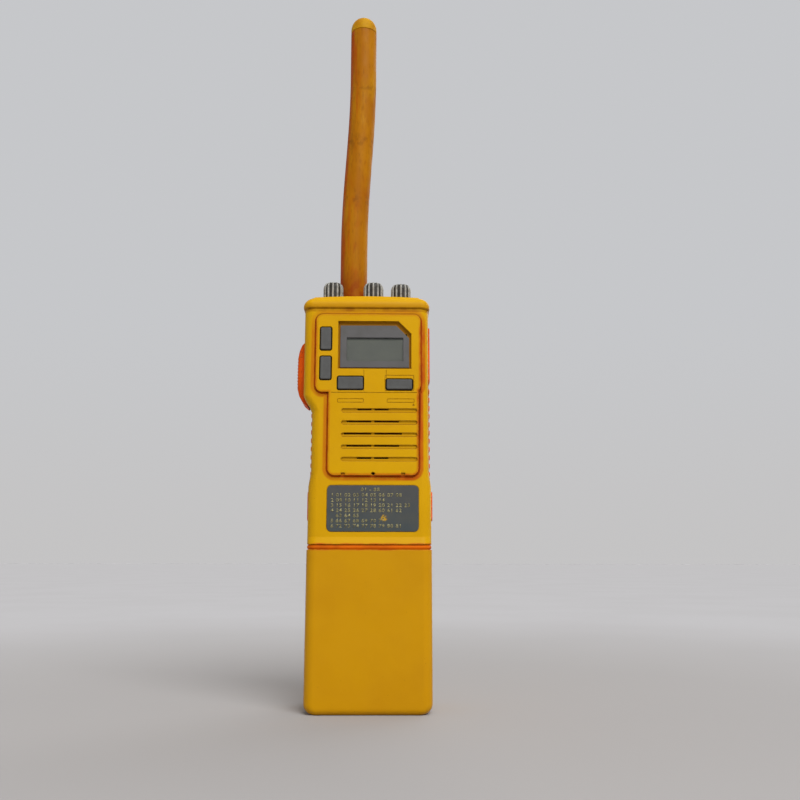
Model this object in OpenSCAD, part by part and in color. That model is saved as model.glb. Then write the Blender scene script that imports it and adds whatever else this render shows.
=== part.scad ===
// Handheld marine radio with a lift-off battery pack, in millimetres.
// It stands upright on the pack: x runs to the viewer's right, y to the back, z up.
// The origin is the middle of the pack's flat base.

/* [Battery pack] */
// Width of the pack
pack_w = 62; // [60:0.1:66]
// Height of the pack
pack_h = 77.5; // [70:0.5:95]
// Wall of the pack's case
pack_wall = 2; // [1.6:0.1:2.4]
// Radius of the pack's lower corners, seen from the front
pack_foot_r = 5; // [3:0.5:8]
// Thickness of the pack's lid
lid_t = 2.2; // [1.6:0.1:3]
// Height of the seam gasket that lies on the pack
seal_t = 2.4; // [1.6:0.1:3]
// Diameter of one cell
cell_d = 14; // [13:0.1:14.2]
// Length of one cell
cell_h = 50; // [40:0.5:50]

/* [Housing] */
// Width of the radio at its foot
foot_w = 61.6; // [60:0.1:64]
// Width of the radio above the release bars
waist_w = 59.2; // [58:0.1:60]
// How far the shell swells out on the left round the talk button
bulge = 4.6; // [3.5:0.1:6]
// Depth from the front face to the back
body_d = 38.8; // [37:0.1:42]
// Where the front face lies in front of the middle plane
face_front = 18.8; // [18:0.1:20]
// How far the pack stands in front of that face
foot_step = 1; // [0.6:0.1:1.5]
// Height of the radio's shell
shell_h = 120; // [118:0.5:130]
// Wall of the shells
wall = 2.2; // [2:0.1:2.4]
// Radius of the upright edges
edge_r = 5; // [3:0.5:6]
// Height of the top cap
cap_h = 7.4; // [5:0.1:9]
// How far the cap stands out over the shell
cap_lip = 0.8; // [0.4:0.1:1.2]
// Where the front and rear shells meet, behind the middle plane
split_y = 10.5; // [9.8:0.1:12]

/* [Front plate] */
// Left edge of the plate's upper part, left of the middle
plate_left = 27.8; // [27:0.1:28]
// Right edge of the plate's upper part
plate_right = 25.5; // [25:0.1:26]
// Height of the step between the plate's two parts above the base line of the front
plate_step_up = 76; // [75.5:0.1:76.5]
// Height of the plate's top edge above the base line of the front
plate_top_up = 116.6; // [116:0.1:117]
// Height of the plate's bottom edge above the base line of the front
plate_low_up = 33.8; // [33:0.1:36]
// Thickness of the plate
plate_t = 2.1; // [1.9:0.1:2.3]
// How far the plate stands out of the shell
plate_proud = 1.2; // [0.8:0.1:1.4]
// Width of the orange gasket line round the plate
line_w = 0.9; // [0.6:0.1:1.2]
// Corner radius of the plate
plate_r = 3.5; // [2:0.1:4]

/* [Keys and display] */
// Gap round each key
key_gap = 0.45; // [0.3:0.05:0.6]
// How far a key stands out of the plate
key_proud = 0.7; // [0.4:0.1:1.2]
// Travel of a key
key_travel = 0.8; // [0.4:0.1:1]
// Width of the display window
window_w = 28.9; // [26:0.1:30]
// Height of the display window
window_h = 12.3; // [10:0.1:13]

/* [Speaker] */
// Radius that the speaker slits fill
slit_field_r = 14.6; // [12:0.1:15]
// Height of a slit
slit_h = 0.9; // [0.6:0.1:1.2]
// Pitch of the slits
slit_pitch = 6.15; // [5:0.05:6.4]
// Height of the shallow channel that each slit lies in
channel_h = 2.2; // [1.6:0.1:3]
// Outer radius of the speaker
speaker_r = 17; // [16:0.1:17.5]

/* [Side controls] */
// Height of the talk button
talk_h = 34; // [32:0.5:34]
// How far the talk button stands out of the swell
talk_proud = 4.2; // [3:0.1:6]
// Width of the talk button, front to back
talk_w = 17; // [14:0.1:17]
// Travel of the talk button
talk_travel = 1.5; // [0.5:0.1:2]
// Radius of the small side key
side_key_r = 2.2; // [1.8:0.1:2.4]
// Width of the side grips, front to back
grip_w = 18; // [16:0.1:18]
// How far the grip stands out of the shell, without its ribs
grip_proud = 0.4; // [0.3:0.1:1]
// Height of a grip rib above the grip
rib_proud = 0.5; // [0.3:0.1:1]
// Pitch of the grip ribs
rib_pitch = 4.3; // [3.5:0.1:6]
// Travel of a release bar
latch_travel = 1.2; // [0.8:0.1:1.2]

/* [Top controls] */
// Radius of the knobs
knob_r = 5.3; // [4.8:0.1:5.4]
// Height of the knobs
knob_h = 9.8; // [8:0.1:14]
// Number of flutes round a knob
flutes = 14; // [10:1:18]
// Radius of the control shafts
shaft_r = 1.5; // [1.2:0.1:1.8]
// Where the knobs stand in front of the middle plane
knob_front = 5; // [4.6:0.1:5.4]
// Travel of the channel dial when it is pushed
dial_travel = 0.8; // [0.4:0.1:1]

/* [Antenna] */
// Radius of the antenna's rubber sleeve
antenna_r = 7.35; // [6.5:0.05:7.5]
// Height of the antenna over the cap
antenna_h = 176.5; // [150:0.5:220]
// How far the antenna leans to the right at its tip
antenna_lean = 4.2; // [2:0.1:6]
// Where the antenna stands left of the middle
antenna_left = 10.1; // [9.8:0.1:10.4]
// Where the antenna stands behind the middle plane
antenna_back = 7; // [7:0.1:8]
// Radius of the connector's stud
stud_r = 3; // [2.5:0.1:3.5]

/* [Hidden] */
$fn = 48;

// Clearances
fit_gap = 0.05;   // running fit of a shaft in its bore, on the radius
move_gap = 0.3;   // round a piece that moves
rest_gap = 0.1;   // between flat faces of two pieces that part

// Heights
foot_z = pack_h + seal_t + rest_gap;
shell_top = foot_z + shell_h;
cap_top = shell_top + cap_h;
cap_plate_t = 3.2;
cap_under = cap_top - cap_plate_t;

// Planes, front to back
face_y = -face_front;
back_y = face_y + body_d;
pack_y = face_y - foot_step;
plate_y = face_y - plate_proud;
plate_back = plate_y + plate_t;
inner_y = face_y + wall;
rear_y = back_y - wall;
right_in = waist_w / 2 - wall;
swell_x = -waist_w / 2 - bulge;

// Front plate. It hangs from the shell's top, and the front's heights count from front_z.
plate_top_gap = 3.4;
front_z = shell_top - plate_top_gap - plate_top_up;
plate_low_left = 21.05;
plate_low_right = 24.35;
plate_low_z = front_z + plate_low_up;
plate_step_z = front_z + plate_step_up;
plate_top_z = front_z + plate_top_up;

// Display, from the plate's step and right edge
recess_w = 37.4;
recess_h = 25;
recess_in = 4.7;
recess_up = 12;
recess_x1 = plate_right - recess_in;
recess_x0 = recess_x1 - recess_w;
recess_z0 = plate_step_z + recess_up;
recess_z1 = recess_z0 + recess_h;
recess_cut = 6.6;
mask_in = 1.15;
mask_top = 2.2;
mask_t = 0.8;
recess_d = 1.6;
recess_floor = plate_y + recess_d;
window_hole = 2;
module_edge = 1.6;
module_frame = 2.6;
window_in = 18.55;
window_up = 10.35;
window_x = recess_x1 - window_in;
window_z = recess_z0 + window_up;
lens_t = 0.6;
board_in = 5.6;
board_y = face_y + board_in;
board_t = 1.2;
board_side = 2.9;

// Keys: left, low, width and height of each, from the plate's left edge and step
key_boxes = [[2.2, 21.7, 5.6, 11.9], [2.2, 6.3, 5.6, 12], [11.2, 1.2, 13, 6.7], [35.9, 1.2, 13.2, 5.4]];
key_flange = 0.6;
key_flange_t = 0.8;
key_back = inner_y + move_gap + key_flange_t;

// Speaker
speaker_x = 1.4;
slit_rows = 5;
speaker_up = 21;
speaker_z = plate_low_z + speaker_up;
slit_bridge = 1.5;
channel_d = 0.8;
cloth_t = 0.4;
basket_t = 6.5;
magnet_t = 4;

// Sides
side_y = -1;
talk_up = 70.5;
talk_z0 = front_z + talk_up;
talk_z1 = talk_z0 + talk_h;
talk_flange = 0.7;
switch_t = 2.4;
talk_flange_t = 1;
talk_in = swell_x + wall + move_gap + talk_flange_t;
talk_stop = 8;
talk_root = 1.6;
side_key_up = 4;
side_key_z = talk_z1 + side_key_up;
grip_up = 28.6;
grip_z0 = foot_z + grip_up;
grip_left_z1 = talk_z0 - 1.5;
grip_sink = 1;
cover_up = 83;
cover_h = 29.5;
cover_z0 = front_z + cover_up;
cover_z1 = cover_z0 + cover_h;
cover_t = 2;
cover_sink = 1.3;
cover_y0 = side_y - grip_w / 2;
cover_y1 = side_y + grip_w / 2 - 2;
jack_y = -2;
jack_pitch = 12;
jack_up = 9;
jack_z = [cover_z0 + jack_up, cover_z0 + jack_up + jack_pitch];
jack_r = [1.75, 1.25];
jack_len = 14;
jack_end = 1.4;
jack_half = 4.5;
jack_over = 5;
jack_rim = 1.2;
jack_mouth = waist_w / 2 - cover_sink;
latch_up = 12;
latch_z0 = foot_z + latch_up;
latch_h = 14.6;
latch_w = 13.6;
latch_out = 0.9;
arm_t = 1.6;
arm_w = 10;
arm_gap = [0.6, 1.3]; // inside the shell's wall and inside the pack's
arm_x = min(foot_w / 2 - wall - arm_gap[0], pack_w / 2 - pack_wall - arm_gap[1]) - arm_t;
arm_drop = 3.6;
arm_low = pack_h - arm_drop;

// Top
knob_in = [13.8, 26.4, 11.8]; // the first from the swell, the others from the right wall
knob_xs = [swell_x + knob_in[0], right_in - knob_in[1], right_in - knob_in[2]];
knob_y = -knob_front;
knob_lift = 0.4;
knob_z = cap_top + knob_lift;
knob_top = knob_z + knob_h;
dial_drop = 0.8;
bush_r = 3;
nut_r = 3.9;
nut_t = 1.6;
knob_well_r = 4.3;
knob_well = nut_t + 0.8;
control_w = 10;
control_h = 11.2;
control_z0 = cap_under - control_h;
shaft_up = 4;
shaft_z0 = control_z0 + shaft_up;
dial_sleeve_t = 0.8;
sleeve_up = 2.5;

// Antenna
antenna_x = -antenna_left;
washer_t = 0.9;
antenna_z0 = cap_top + rest_gap + washer_t + rest_gap;
antenna_top = cap_top + antenna_h;
bend_up = 34;
bend_h = 102;
bend_z0 = cap_top + bend_up;
bend_z1 = bend_z0 + bend_h;
tip_h = 5;
tip_round = 4;
spigot_h = 4;
core_r = 4;
stud_h = 12;
flange_t = 2.2;

// Screws and posts
post_in = [5.4, 3.1]; // the upper two, from the swell and from the right wall
post_down = 4.5;
post_up = 7;
low_post_x = 18;
housing_posts = [[swell_x + post_in[0], shell_top - post_down], [right_in - post_in[1],
    shell_top - post_down], [-low_post_x, foot_z + post_up], [low_post_x, foot_z + post_up]];
post_r = 2.8;
screw_r = 1.25;
head_r = 2.4;
head_t = 1.4;
board_screw_in = 4.6;
screw_free = 0.4;
housing_screw_in = 11;
chassis_y = 6;
chassis_t = 1.5;
main_t = 1.6;
main_gap = 1.9;
main_y = chassis_y - main_gap - main_t;
chassis_up = 6;
chassis_down = 12;
chassis_side = 0.9;
chassis_lip = 2;
chassis_lip_d = 4;
chassis_lip_z = [6, 30]; // how far the side lips stay short of the bottom and the top
chassis_z0 = foot_z + chassis_up;
chassis_z1 = shell_top - chassis_down;
chassis_half = min(foot_w, waist_w) / 2 - wall - chassis_side;
main_side = 0.7;
main_in = [4, 2]; // how far the main board stays short of the chassis, below and above
main_half = min(arm_x - latch_travel - main_side, right_in - board_side);
board_post_in = [3.5, 14, 28]; // from the main board's side, the chassis's bottom and its top
board_post_x = main_half - board_post_in[0];
board_posts = [for (x = [-board_post_x, board_post_x],
    z = [chassis_z0 + board_post_in[1], chassis_z1 - board_post_in[2]]) [x, z]];
clip_pitch = 20;
clip_down = 20;
clip_z = [shell_top - clip_down - clip_pitch, shell_top - clip_down];
pad_w = 24;
pad_over = 8;
clip_r = 1.65;
insert_r = 2.6;
insert_len = 5;
pad_proud = 0.6;
switch_x = talk_in + talk_travel + move_gap + switch_t;
pin_xs = [-12, -4, 4, 12];
pin_y = 11;
pin_r = 0.8;

// ---- outlines and rods ----

// A rectangle with round corners, between two of its corners
module rounded(x0, y0, x1, y1, r) {
    translate([x0 + r, y0]) square([x1 - x0 - 2 * r, y1 - y0]);
    translate([x0, y0 + r]) square([x1 - x0, y1 - y0 - 2 * r]);
    for (x = [x0 + r, x1 - r], y = [y0 + r, y1 - r]) translate([x, y]) circle(r);
}
// An outline in x and z, pushed back from y0 to y1
module front_view(y0, y1) translate([0, y1, 0]) rotate([90, 0, 0]) linear_extrude(y1 - y0) children();
// An outline in y and z, pushed from x0 to x1
module side_view(x0, x1) translate([x0, 0, 0]) rotate([90, 0, 90]) linear_extrude(x1 - x0) children();
// An outline in x and y, raised from z0 to z1
module plan_view(z0, z1) translate([0, 0, z0]) linear_extrude(z1 - z0) children();
module block(x0, y0, z0, x1, y1, z1) translate([x0, y0, z0]) cube([x1 - x0, y1 - y0, z1 - z0]);
module x_rod(y, z, r, x0, x1) translate([x0, y, z]) rotate([0, 90, 0]) cylinder(r = r, h = x1 - x0);
module y_rod(x, z, r, y0, y1) translate([x, y1, z]) rotate([90, 0, 0]) cylinder(r = r, h = y1 - y0);
module z_rod(x, y, r, z0, z1) translate([x, y, z0]) cylinder(r = r, h = z1 - z0);

// ---- the housing's shape, g inside its skin ----

// The sides seen from the front: foot, then in to the waist between the flare's two heights
flare = [28, 36];
module waist_outline(g, z0, z1) {
    f = foot_w / 2 - g;
    w = waist_w / 2 - g;
    z = [foot_z + flare[0], foot_z + flare[1]];
    polygon([[-f, z0], [f, z0], [f, z[0]], [w, z[1]], [w, z1], [-w, z1], [-w, z[1]], [-f, z[0]]]);
}
// The swell on the left, which comes out along half a cosine wave
swell_drop = 5.5;
swell_z0 = talk_z0 - swell_drop;
swell_rise = 11;
module swell_outline(g, z1) {
    wave = [for (t = [0:0.125:1]) [-waist_w / 2 + g - bulge * (1 - cos(180 * t)) / 2,
        swell_z0 + g + swell_rise * t]];
    polygon(concat([[0, swell_z0 + g]], wave, [[swell_x + g, z1], [0, z1]]));
}
// The solid that both shells are cut from
module housing(g, z0, z1) {
    r = max(edge_r - g, 0.5);
    half = max(foot_w, waist_w) / 2 - g;
    intersection() {
        plan_view(z0, z1) rounded(-half, face_y + g, half, back_y - g, r);
        front_view(face_y, back_y) waist_outline(g, z0, z1);
    }
    intersection() {
        plan_view(swell_z0, z1) rounded(swell_x + g, face_y + g, foot_w / 4, back_y - g, r);
        front_view(face_y, back_y) swell_outline(g, z1);
    }
}
// The short bevel where the face comes out to meet the pack
module foot_bevel() {
    rise = 3.6;
    intersection() {
        plan_view(foot_z, foot_z + rise)
            rounded(-foot_w / 2, pack_y, foot_w / 2, back_y - wall, edge_r);
        side_view(-foot_w / 2, foot_w / 2) polygon([[pack_y, foot_z], [inner_y, foot_z],
            [inner_y, foot_z + rise], [face_y, foot_z + rise]]);
    }
}
// The top of the shell seen from above
module top_outline(g) {
    r = max(edge_r - g, 0.5);
    rounded(-waist_w / 2 + g, face_y + g, waist_w / 2 - g, back_y - g, r);
    rounded(swell_x + g, face_y + g, 0, back_y - g, r);
}
// The front plate's outline, grown by g
module plate_outline(g) {
    rounded(-plate_left - g, plate_step_z - g, plate_right + g, plate_top_z + g, plate_r + g);
    rounded(-plate_low_left - g, plate_low_z - g, plate_low_right + g, plate_step_z + plate_r * 3,
        plate_r + g);
}
// The display recess with its cut corner
module recess_outline(x0, z0, x1, z1) {
    polygon([[x0, z0], [x1, z0], [x1, z1 - recess_cut], [x1 - recess_cut, z1], [x0, z1]]);
}
module key_outline(k, g) {
    x = -plate_left + k[0];
    z = plate_step_z + k[1];
    rounded(x - g, z - g, x + k[2] + g, z + k[3] + g, 0.8 + g);
}
// The speaker slits: the rows fill a round field and leave a bridge in the middle
module slits() {
    for (i = [-(slit_rows - 1) / 2 : (slit_rows - 1) / 2]) {
        half = sqrt(pow(slit_field_r, 2) - pow(i * slit_pitch, 2));
        z = speaker_z + i * slit_pitch;
        translate([speaker_x - half, z - slit_h / 2]) square([half - slit_bridge / 2, slit_h]);
        translate([speaker_x + slit_bridge / 2, z - slit_h / 2])
            square([half - slit_bridge / 2, slit_h]);
    }
}
module window_outline(g) {
    translate([window_x - window_w / 2 - g, window_z - window_h / 2 - g])
        square([window_w + 2 * g, window_h + 2 * g]);
}
module talk_outline(g) rounded(side_y - talk_w / 2 - g, talk_z0 - g, side_y + talk_w / 2 + g,
    talk_z1 + g, 3 + g);
module cover_outline(g) rounded(cover_y0 - g, cover_z0 - g, cover_y1 + g, cover_z1 + g, 2 + g);
module latch_outline(g) rounded(side_y - latch_w / 2 - g, latch_z0 - g, side_y + latch_w / 2 + g,
    latch_z0 + latch_h + g, 2 + g);
module grip_outline(z1) rounded(side_y - grip_w / 2, grip_z0, side_y + grip_w / 2, z1, 2.5);
module mic_port(y0, y1) y_rod(speaker_x + 0.3, plate_low_z + 1, 0.7, y0, y1);

// ---- battery pack ----

module pack_outer() intersection() {
    plan_view(0, pack_h) pack_outline(0);
    front_view(pack_y, back_y) rounded(-pack_w / 2, 0, pack_w / 2, pack_h * 2, pack_foot_r);
    side_view(-pack_w / 2, pack_w / 2) rounded(pack_y, 0, back_y, pack_h * 2, pack_foot_r - 2);
}
module pack_inside(g) rounded(-pack_w / 2 + pack_wall + g, pack_y + pack_wall + g,
    pack_w / 2 - pack_wall - g, back_y - pack_wall - g, edge_r - pack_wall);
pack_mid_y = (pack_y + back_y) / 2;
cell_pitch = cell_d + 0.1;
cell_side = 0.2;
cell_rim = 0.55;
holder_w = pack_w - 2 * pack_wall - 2 * cell_side;
cells_across = floor((holder_w - cell_rim) / cell_pitch);
column_pitch = (holder_w - 2 * cell_rim - cell_d) / (cells_across - 1);
cell_columns = [for (i = [0 : cells_across - 1]) (i - (cells_across - 1) / 2) * column_pitch];
cell_places = [for (x = cell_columns, j = [-0.5, 0.5]) [x, pack_mid_y + j * cell_pitch]];
cell_up = 1.8;
cell_z0 = pack_wall + cell_up;
cell_z1 = cell_z0 + cell_h;
terminal_xs = [-8, 8];
terminal_z = 14;
terminal_r = 2.5;
terminal_t = 0.7;
leg_h = 6;
leg_x = (cells_across / 2 - 1) * column_pitch;
pack_board_z = cell_z1 + leg_h;
pack_board_side = 3.3;
pack_board_half = pack_w / 2 - pack_wall - pack_board_side;
pack_board_front = 6;
pack_board_t = 1.2;
cup_d = 4.2;
cup_wall = 1;
nub_r = 2.8;
nub_h = 1;
board_leg_r = 1.6;
contact_r = 1.6;
seam_in = 0.4;
seam_w = 1.9;

module battery_case() color("orange") difference() {
    pack_outer();
    plan_view(pack_wall, pack_h + 1) pack_inside(0);
    for (x = terminal_xs) y_rod(x, terminal_z, terminal_r, back_y - terminal_t, back_y + 1);
}
// The slots in the lid that take the latch arms, one each side
module arm_slots(g, z0, z1) for (s = [-1, 1]) {
    x0 = arm_x - latch_travel - move_gap - g;
    x1 = arm_x + arm_t + move_gap + g;
    block(min(s * x0, s * x1), side_y - arm_w / 2 - move_gap - g, z0,
        max(s * x0, s * x1), side_y + arm_w / 2 + move_gap + g, z1);
}
module battery_lid() color("dimgray") difference() {
    union() {
        plan_view(pack_h - lid_t, pack_h) pack_inside(0);
        intersection() {
            arm_slots(cup_wall, pack_h - lid_t - cup_d, pack_h - lid_t);
            plan_view(0, pack_h) pack_inside(0);
        }
    }
    arm_slots(0, pack_h - lid_t - cup_d + cup_wall, pack_h + 1);
    for (x = pin_xs) z_rod(x, pin_y, contact_r + 0.1, pack_h - lid_t - 1, pack_h + 1);
}
module pack_outline(g) rounded(-pack_w / 2 + g, pack_y + g, pack_w / 2 - g, back_y - g, edge_r - g);
module battery_seal() color("orangered") plan_view(pack_h, pack_h + seal_t) difference() {
    pack_outline(seam_in);
    pack_outline(seam_in + seam_w);
}
module battery_cells() color("mediumseagreen") for (c = cell_places) {
    z_rod(c[0], c[1], cell_d / 2, cell_z0, cell_z1 - nub_h);
    z_rod(c[0], c[1], nub_r, cell_z1 - nub_h, cell_z1);
}
module cell_holder(z0, z1, floor_z) difference() {
    plan_view(z0, z1) pack_inside(cell_side);
    for (c = cell_places) z_rod(c[0], c[1], cell_d / 2 + 0.04, floor_z, z1 + 1);
}
// A low tray and an upper frame, whose two legs carry the pack's board
tray_h = 7;
upper_frame_h = 8;
module cell_holders() color("ivory") {
    cell_holder(pack_wall, pack_wall + tray_h, cell_z0);
    cell_holder(cell_z1 - nub_h - upper_frame_h, cell_z1 - nub_h, cell_z1 - upper_frame_h - 2);
    for (x = [-leg_x, leg_x]) z_rod(x, pack_mid_y, board_leg_r, cell_z1 - nub_h, pack_board_z);
}
link_w = 4;
link_t = 0.3;
module cell_links() color("silver") for (x = cell_columns)
    block(x - link_w / 2, pack_mid_y - cell_pitch, cell_z1,
        x + link_w / 2, pack_mid_y + cell_pitch, cell_z1 + link_t);
// The pack's board with its fuse
fuse = [8, 6, 3];
fuse_in = 6;
module battery_board() color("darkgreen") {
    x = -pack_board_half + fuse_in;
    z = pack_board_z + pack_board_t;
    block(-pack_board_half, pack_mid_y - pack_board_front, pack_board_z,
        pack_board_half, pin_y + pin_r + 2.2, z);
    block(x, pack_mid_y - fuse[1] / 2, z, x + fuse[0], pack_mid_y + fuse[1] / 2, z + fuse[2]);
}
// Four posts that meet the radio's pins, and two charging discs low on the back
module battery_contacts() color("gold") {
    for (x = pin_xs) {
        z_rod(x, pin_y, contact_r - 0.4, pack_board_z + pack_board_t, pack_h - lid_t);
        z_rod(x, pin_y, contact_r, pack_h - lid_t, pack_h + 0.2);
    }
    for (x = terminal_xs)
        y_rod(x, terminal_z, terminal_r - fit_gap, back_y - terminal_t, back_y - 0.1);
}

// ---- shells and cap ----

module post(p, r, y0, y1) y_rod(p[0], p[1], r, y0, y1);
module front_shell() color("orange") difference() {
    union() {
        difference() {
            intersection() {
                union() {
                    housing(0, foot_z, shell_top);
                    foot_bevel();
                }
                block(-foot_w, pack_y - 1, foot_z - 1, foot_w, split_y, shell_top + 1);
            }
            housing(wall, foot_z - 1, shell_top + 1);
        }
        for (p = housing_posts) post(p, post_r, inner_y - 0.3, split_y);
    }
    front_view(face_y - 1, plate_back) plate_outline(line_w);
    for (k = key_boxes) front_view(face_y, inner_y + 1) key_outline(k, key_gap);
    front_view(face_y, inner_y + 1) window_outline(window_hole);
    front_view(face_y, inner_y + 1) slits();
    mic_port(face_y, inner_y + 1);
    front_view(face_y - 1, face_y + label_sink) label_outline(0.2);
    side_view(swell_x - 1, -right_in + wall) talk_outline(move_gap);
    x_rod(side_y, side_key_z, side_key_r + move_gap, swell_x - 1, swell_x + wall + 1);
    side_view(-waist_w, -waist_w / 2 + grip_sink) grip_outline(grip_left_z1);
    side_view(waist_w / 2 - grip_sink, waist_w) grip_outline(cover_z0 - 0.4);
    side_view(waist_w / 2 - cover_sink, waist_w) cover_outline(move_gap);
    side_view(waist_w / 2 - grip_sink, waist_w) hinge_strip();
    for (i = [0, 1]) x_rod(jack_y, jack_z[i], jack_r[i] + jack_rim + 0.1, right_in - 1, waist_w);
    for (s = [-1, 1]) side_view(s > 0 ? arm_x : -foot_w, s > 0 ? foot_w : -arm_x)
        latch_outline(move_gap);
    for (p = housing_posts)
        post(p, screw_r + fit_gap, split_y - housing_screw_in - 1, split_y + 1);
    plan_view(shell_top - seal_groove, shell_top + 1) seal_ring();
    front_view(split_y - seal_groove, split_y + 1) side_seals();
}
label_up = 6.2;
label_gap = 4.9;
label_z0 = foot_z + label_up;
label_z1 = plate_low_z - label_gap;
label_sink = 0.3;
label_t = 0.55;
module label_outline(g) rounded(-plate_low_left - g, label_z0 - g, plate_low_right + g, label_z1 + g,
    2.3 + g);
module hinge_strip() rounded(cover_y1 + move_gap, cover_z0 - 2.4, side_y + grip_w / 2, cover_z1, 0.6);

// The seals in the joints: one ring under the cap, two strips between the shells
seal_groove = 0.7;
seal_in = 0.7;
seal_w = 0.9;
module seal_ring() difference() {
    top_outline(seal_in);
    top_outline(seal_in + seal_w);
}
module housing_outline(g, z0, z1) {
    waist_outline(g, z0, z1);
    swell_outline(g, z1);
}
module side_seals() difference() {
    housing_outline(seal_in, foot_z + 1, shell_top - 1.2);
    housing_outline(seal_in + seal_w, foot_z, shell_top);
}
module housing_seals() color("orangered") {
    plan_view(shell_top - seal_groove, shell_top) seal_ring();
    front_view(split_y - seal_groove, split_y + seal_groove) side_seals();
}

module rear_shell() color("orange") difference() {
    union() {
        difference() {
            intersection() {
                housing(0, foot_z, shell_top);
                block(-foot_w, split_y, foot_z - 1, foot_w, back_y + 1, shell_top + 1);
            }
            housing(wall, foot_z - 1, shell_top + 1);
        }
        for (p = housing_posts) post(p, post_r, split_y, rear_y + 0.3);
        for (p = board_posts) post(p, post_r, chassis_y + chassis_t, rear_y + 0.3);
        front_view(back_y - 0.3, back_y + pad_proud) clip_pad();
        for (z = clip_z) y_rod(0, z, insert_r + 1.4, rear_y - insert_len, rear_y + 0.3);
    }
    for (z = clip_z) y_rod(0, z, insert_r + fit_gap, back_y + pad_proud - insert_len, back_y + 2);
    for (p = housing_posts) {
        post(p, screw_r + fit_gap, split_y - 1, back_y + 1);
        post(p, head_r + 0.2, back_y - head_t - 0.4, back_y + 1);
    }
    for (p = board_posts)
        post(p, screw_r + fit_gap, chassis_y, chassis_y + chassis_t + board_screw_in + screw_free);
    for (z = [grip_z0 + 0.3 : groove_pitch : clip_z[0] - clip_pitch])
        front_view(back_y - groove_d, back_y + 1)
            rounded(-groove_w / 2, z, groove_w / 2, z + groove_h, groove_h / 2);
    plan_view(shell_top - seal_groove, shell_top + 1) seal_ring();
    front_view(split_y - 1, split_y + seal_groove) side_seals();
}
// The grooves across the back and the raised pad that a belt clip screws on to
groove_pitch = 5;
groove_w = 40;
groove_h = 2;
groove_d = 0.7;
module clip_pad() rounded(-pad_w / 2, clip_z[0] - pad_over, pad_w / 2, clip_z[1] + pad_over, 3);

module top_cap() color("orange") difference() {
    intersection() {
        plan_view(shell_top, cap_top)
            rounded(swell_x - cap_lip, face_y - cap_lip, waist_w / 2 + cap_lip, back_y + cap_lip, edge_r);
        front_view(face_y - 1, back_y + 1) rounded(swell_x - cap_lip, shell_top - cap_h,
            waist_w / 2 + cap_lip, cap_top, cap_h - 0.8);
        side_view(swell_x - 1, waist_w) rounded(face_y - cap_lip, shell_top - cap_h,
            back_y + cap_lip, cap_top, cap_h - 2);
    }
    plan_view(shell_top - 1, cap_under) top_outline(wall);
    for (x = knob_xs) z_rod(x, knob_y, bush_r + 0.1, cap_under - 1, cap_top + 1);
    z_rod(antenna_x, antenna_back, stud_r + 2, cap_under - 1, cap_top + 1);
}

// ---- front plate, display and keys ----

module front_plate() color("orange") difference() {
    front_view(plate_y, plate_back) plate_outline(0);
    front_view(plate_y - 1, recess_floor) recess_outline(recess_x0, recess_z0, recess_x1, recess_z1);
    front_view(plate_y - 1, plate_back + 1) window_outline(window_hole);
    for (k = key_boxes) front_view(plate_y - 1, plate_back + 1) key_outline(k, key_gap);
    front_view(plate_y - 1, plate_back + 1) slits();
    for (i = [-(slit_rows - 1) / 2 : (slit_rows - 1) / 2]) {
        z = speaker_z + i * slit_pitch + slit_h / 2 - channel_h;
        front_view(plate_y - 1, plate_y + channel_d)
            rounded(speaker_x - 15.9, z, plate_low_right - 0.55, z + channel_h, channel_h / 2 - 0.01);
    }
    mic_port(plate_y - 1, plate_back + 1);
    for (x = [-1, 0, 1]) block(speaker_x - 0.7 + x * 15, plate_y - 1, plate_low_z - 1,
        speaker_x + 1.3 + x * 15, plate_y + 0.8, plate_low_z + 1.4);
}
module plate_gasket() color("orangered") front_view(face_y - 0.3, plate_back) difference() {
    plate_outline(line_w);
    plate_outline(0);
}
module mask_outline() recess_outline(recess_x0 + mask_in, recess_z0 + mask_in - 0.35,
    recess_x1 - mask_in, recess_z1 - mask_top);
module display_mask() color("dimgray") front_view(recess_floor - mask_t, recess_floor) difference() {
    mask_outline();
    window_outline(0);
}
module display_window() color("lightgray", 0.4)
    front_view(recess_floor - lens_t, recess_floor) window_outline(0);
module display_module() color("gray") {
    front_view(recess_floor, board_y) window_outline(module_edge);
    front_view(board_y - module_frame, board_y) window_outline(module_frame);
}
module key(k) color("dimgray") {
    front_view(plate_y - key_proud, key_back) key_outline(k, 0);
    front_view(key_back - key_flange_t, key_back) key_outline(k, key_gap + key_flange);
}
module key_scan() key(key_boxes[0]);
module key_light() key(key_boxes[1]);
module key_left() key(key_boxes[2]);
module key_right() key(key_boxes[3]);
// A rubber sheet with a low dome behind each key
module key_membrane() color("dimgray") {
    front_view(key_back + key_travel + move_gap, board_y) for (k = key_boxes) key_outline(k, 0.6);
    front_view(board_y - 0.4, board_y) difference() {
        rounded(-plate_left + 1, plate_step_z + 0.4, right_in - board_side, recess_z1, 2);
        window_outline(module_frame + move_gap);
        for (k = key_boxes) key_outline(k, 0.6);
    }
}
front_board_down = 8.2;
module front_board() color("darkgreen") block(-plate_left + 1, board_y, plate_step_z,
    right_in - board_side, board_y + board_t, shell_top - front_board_down);
module instruction_plate() color("darkslategray")
    front_view(face_y + label_sink - label_t, face_y + label_sink) label_outline(0);

// ---- speaker and microphone ----

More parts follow.
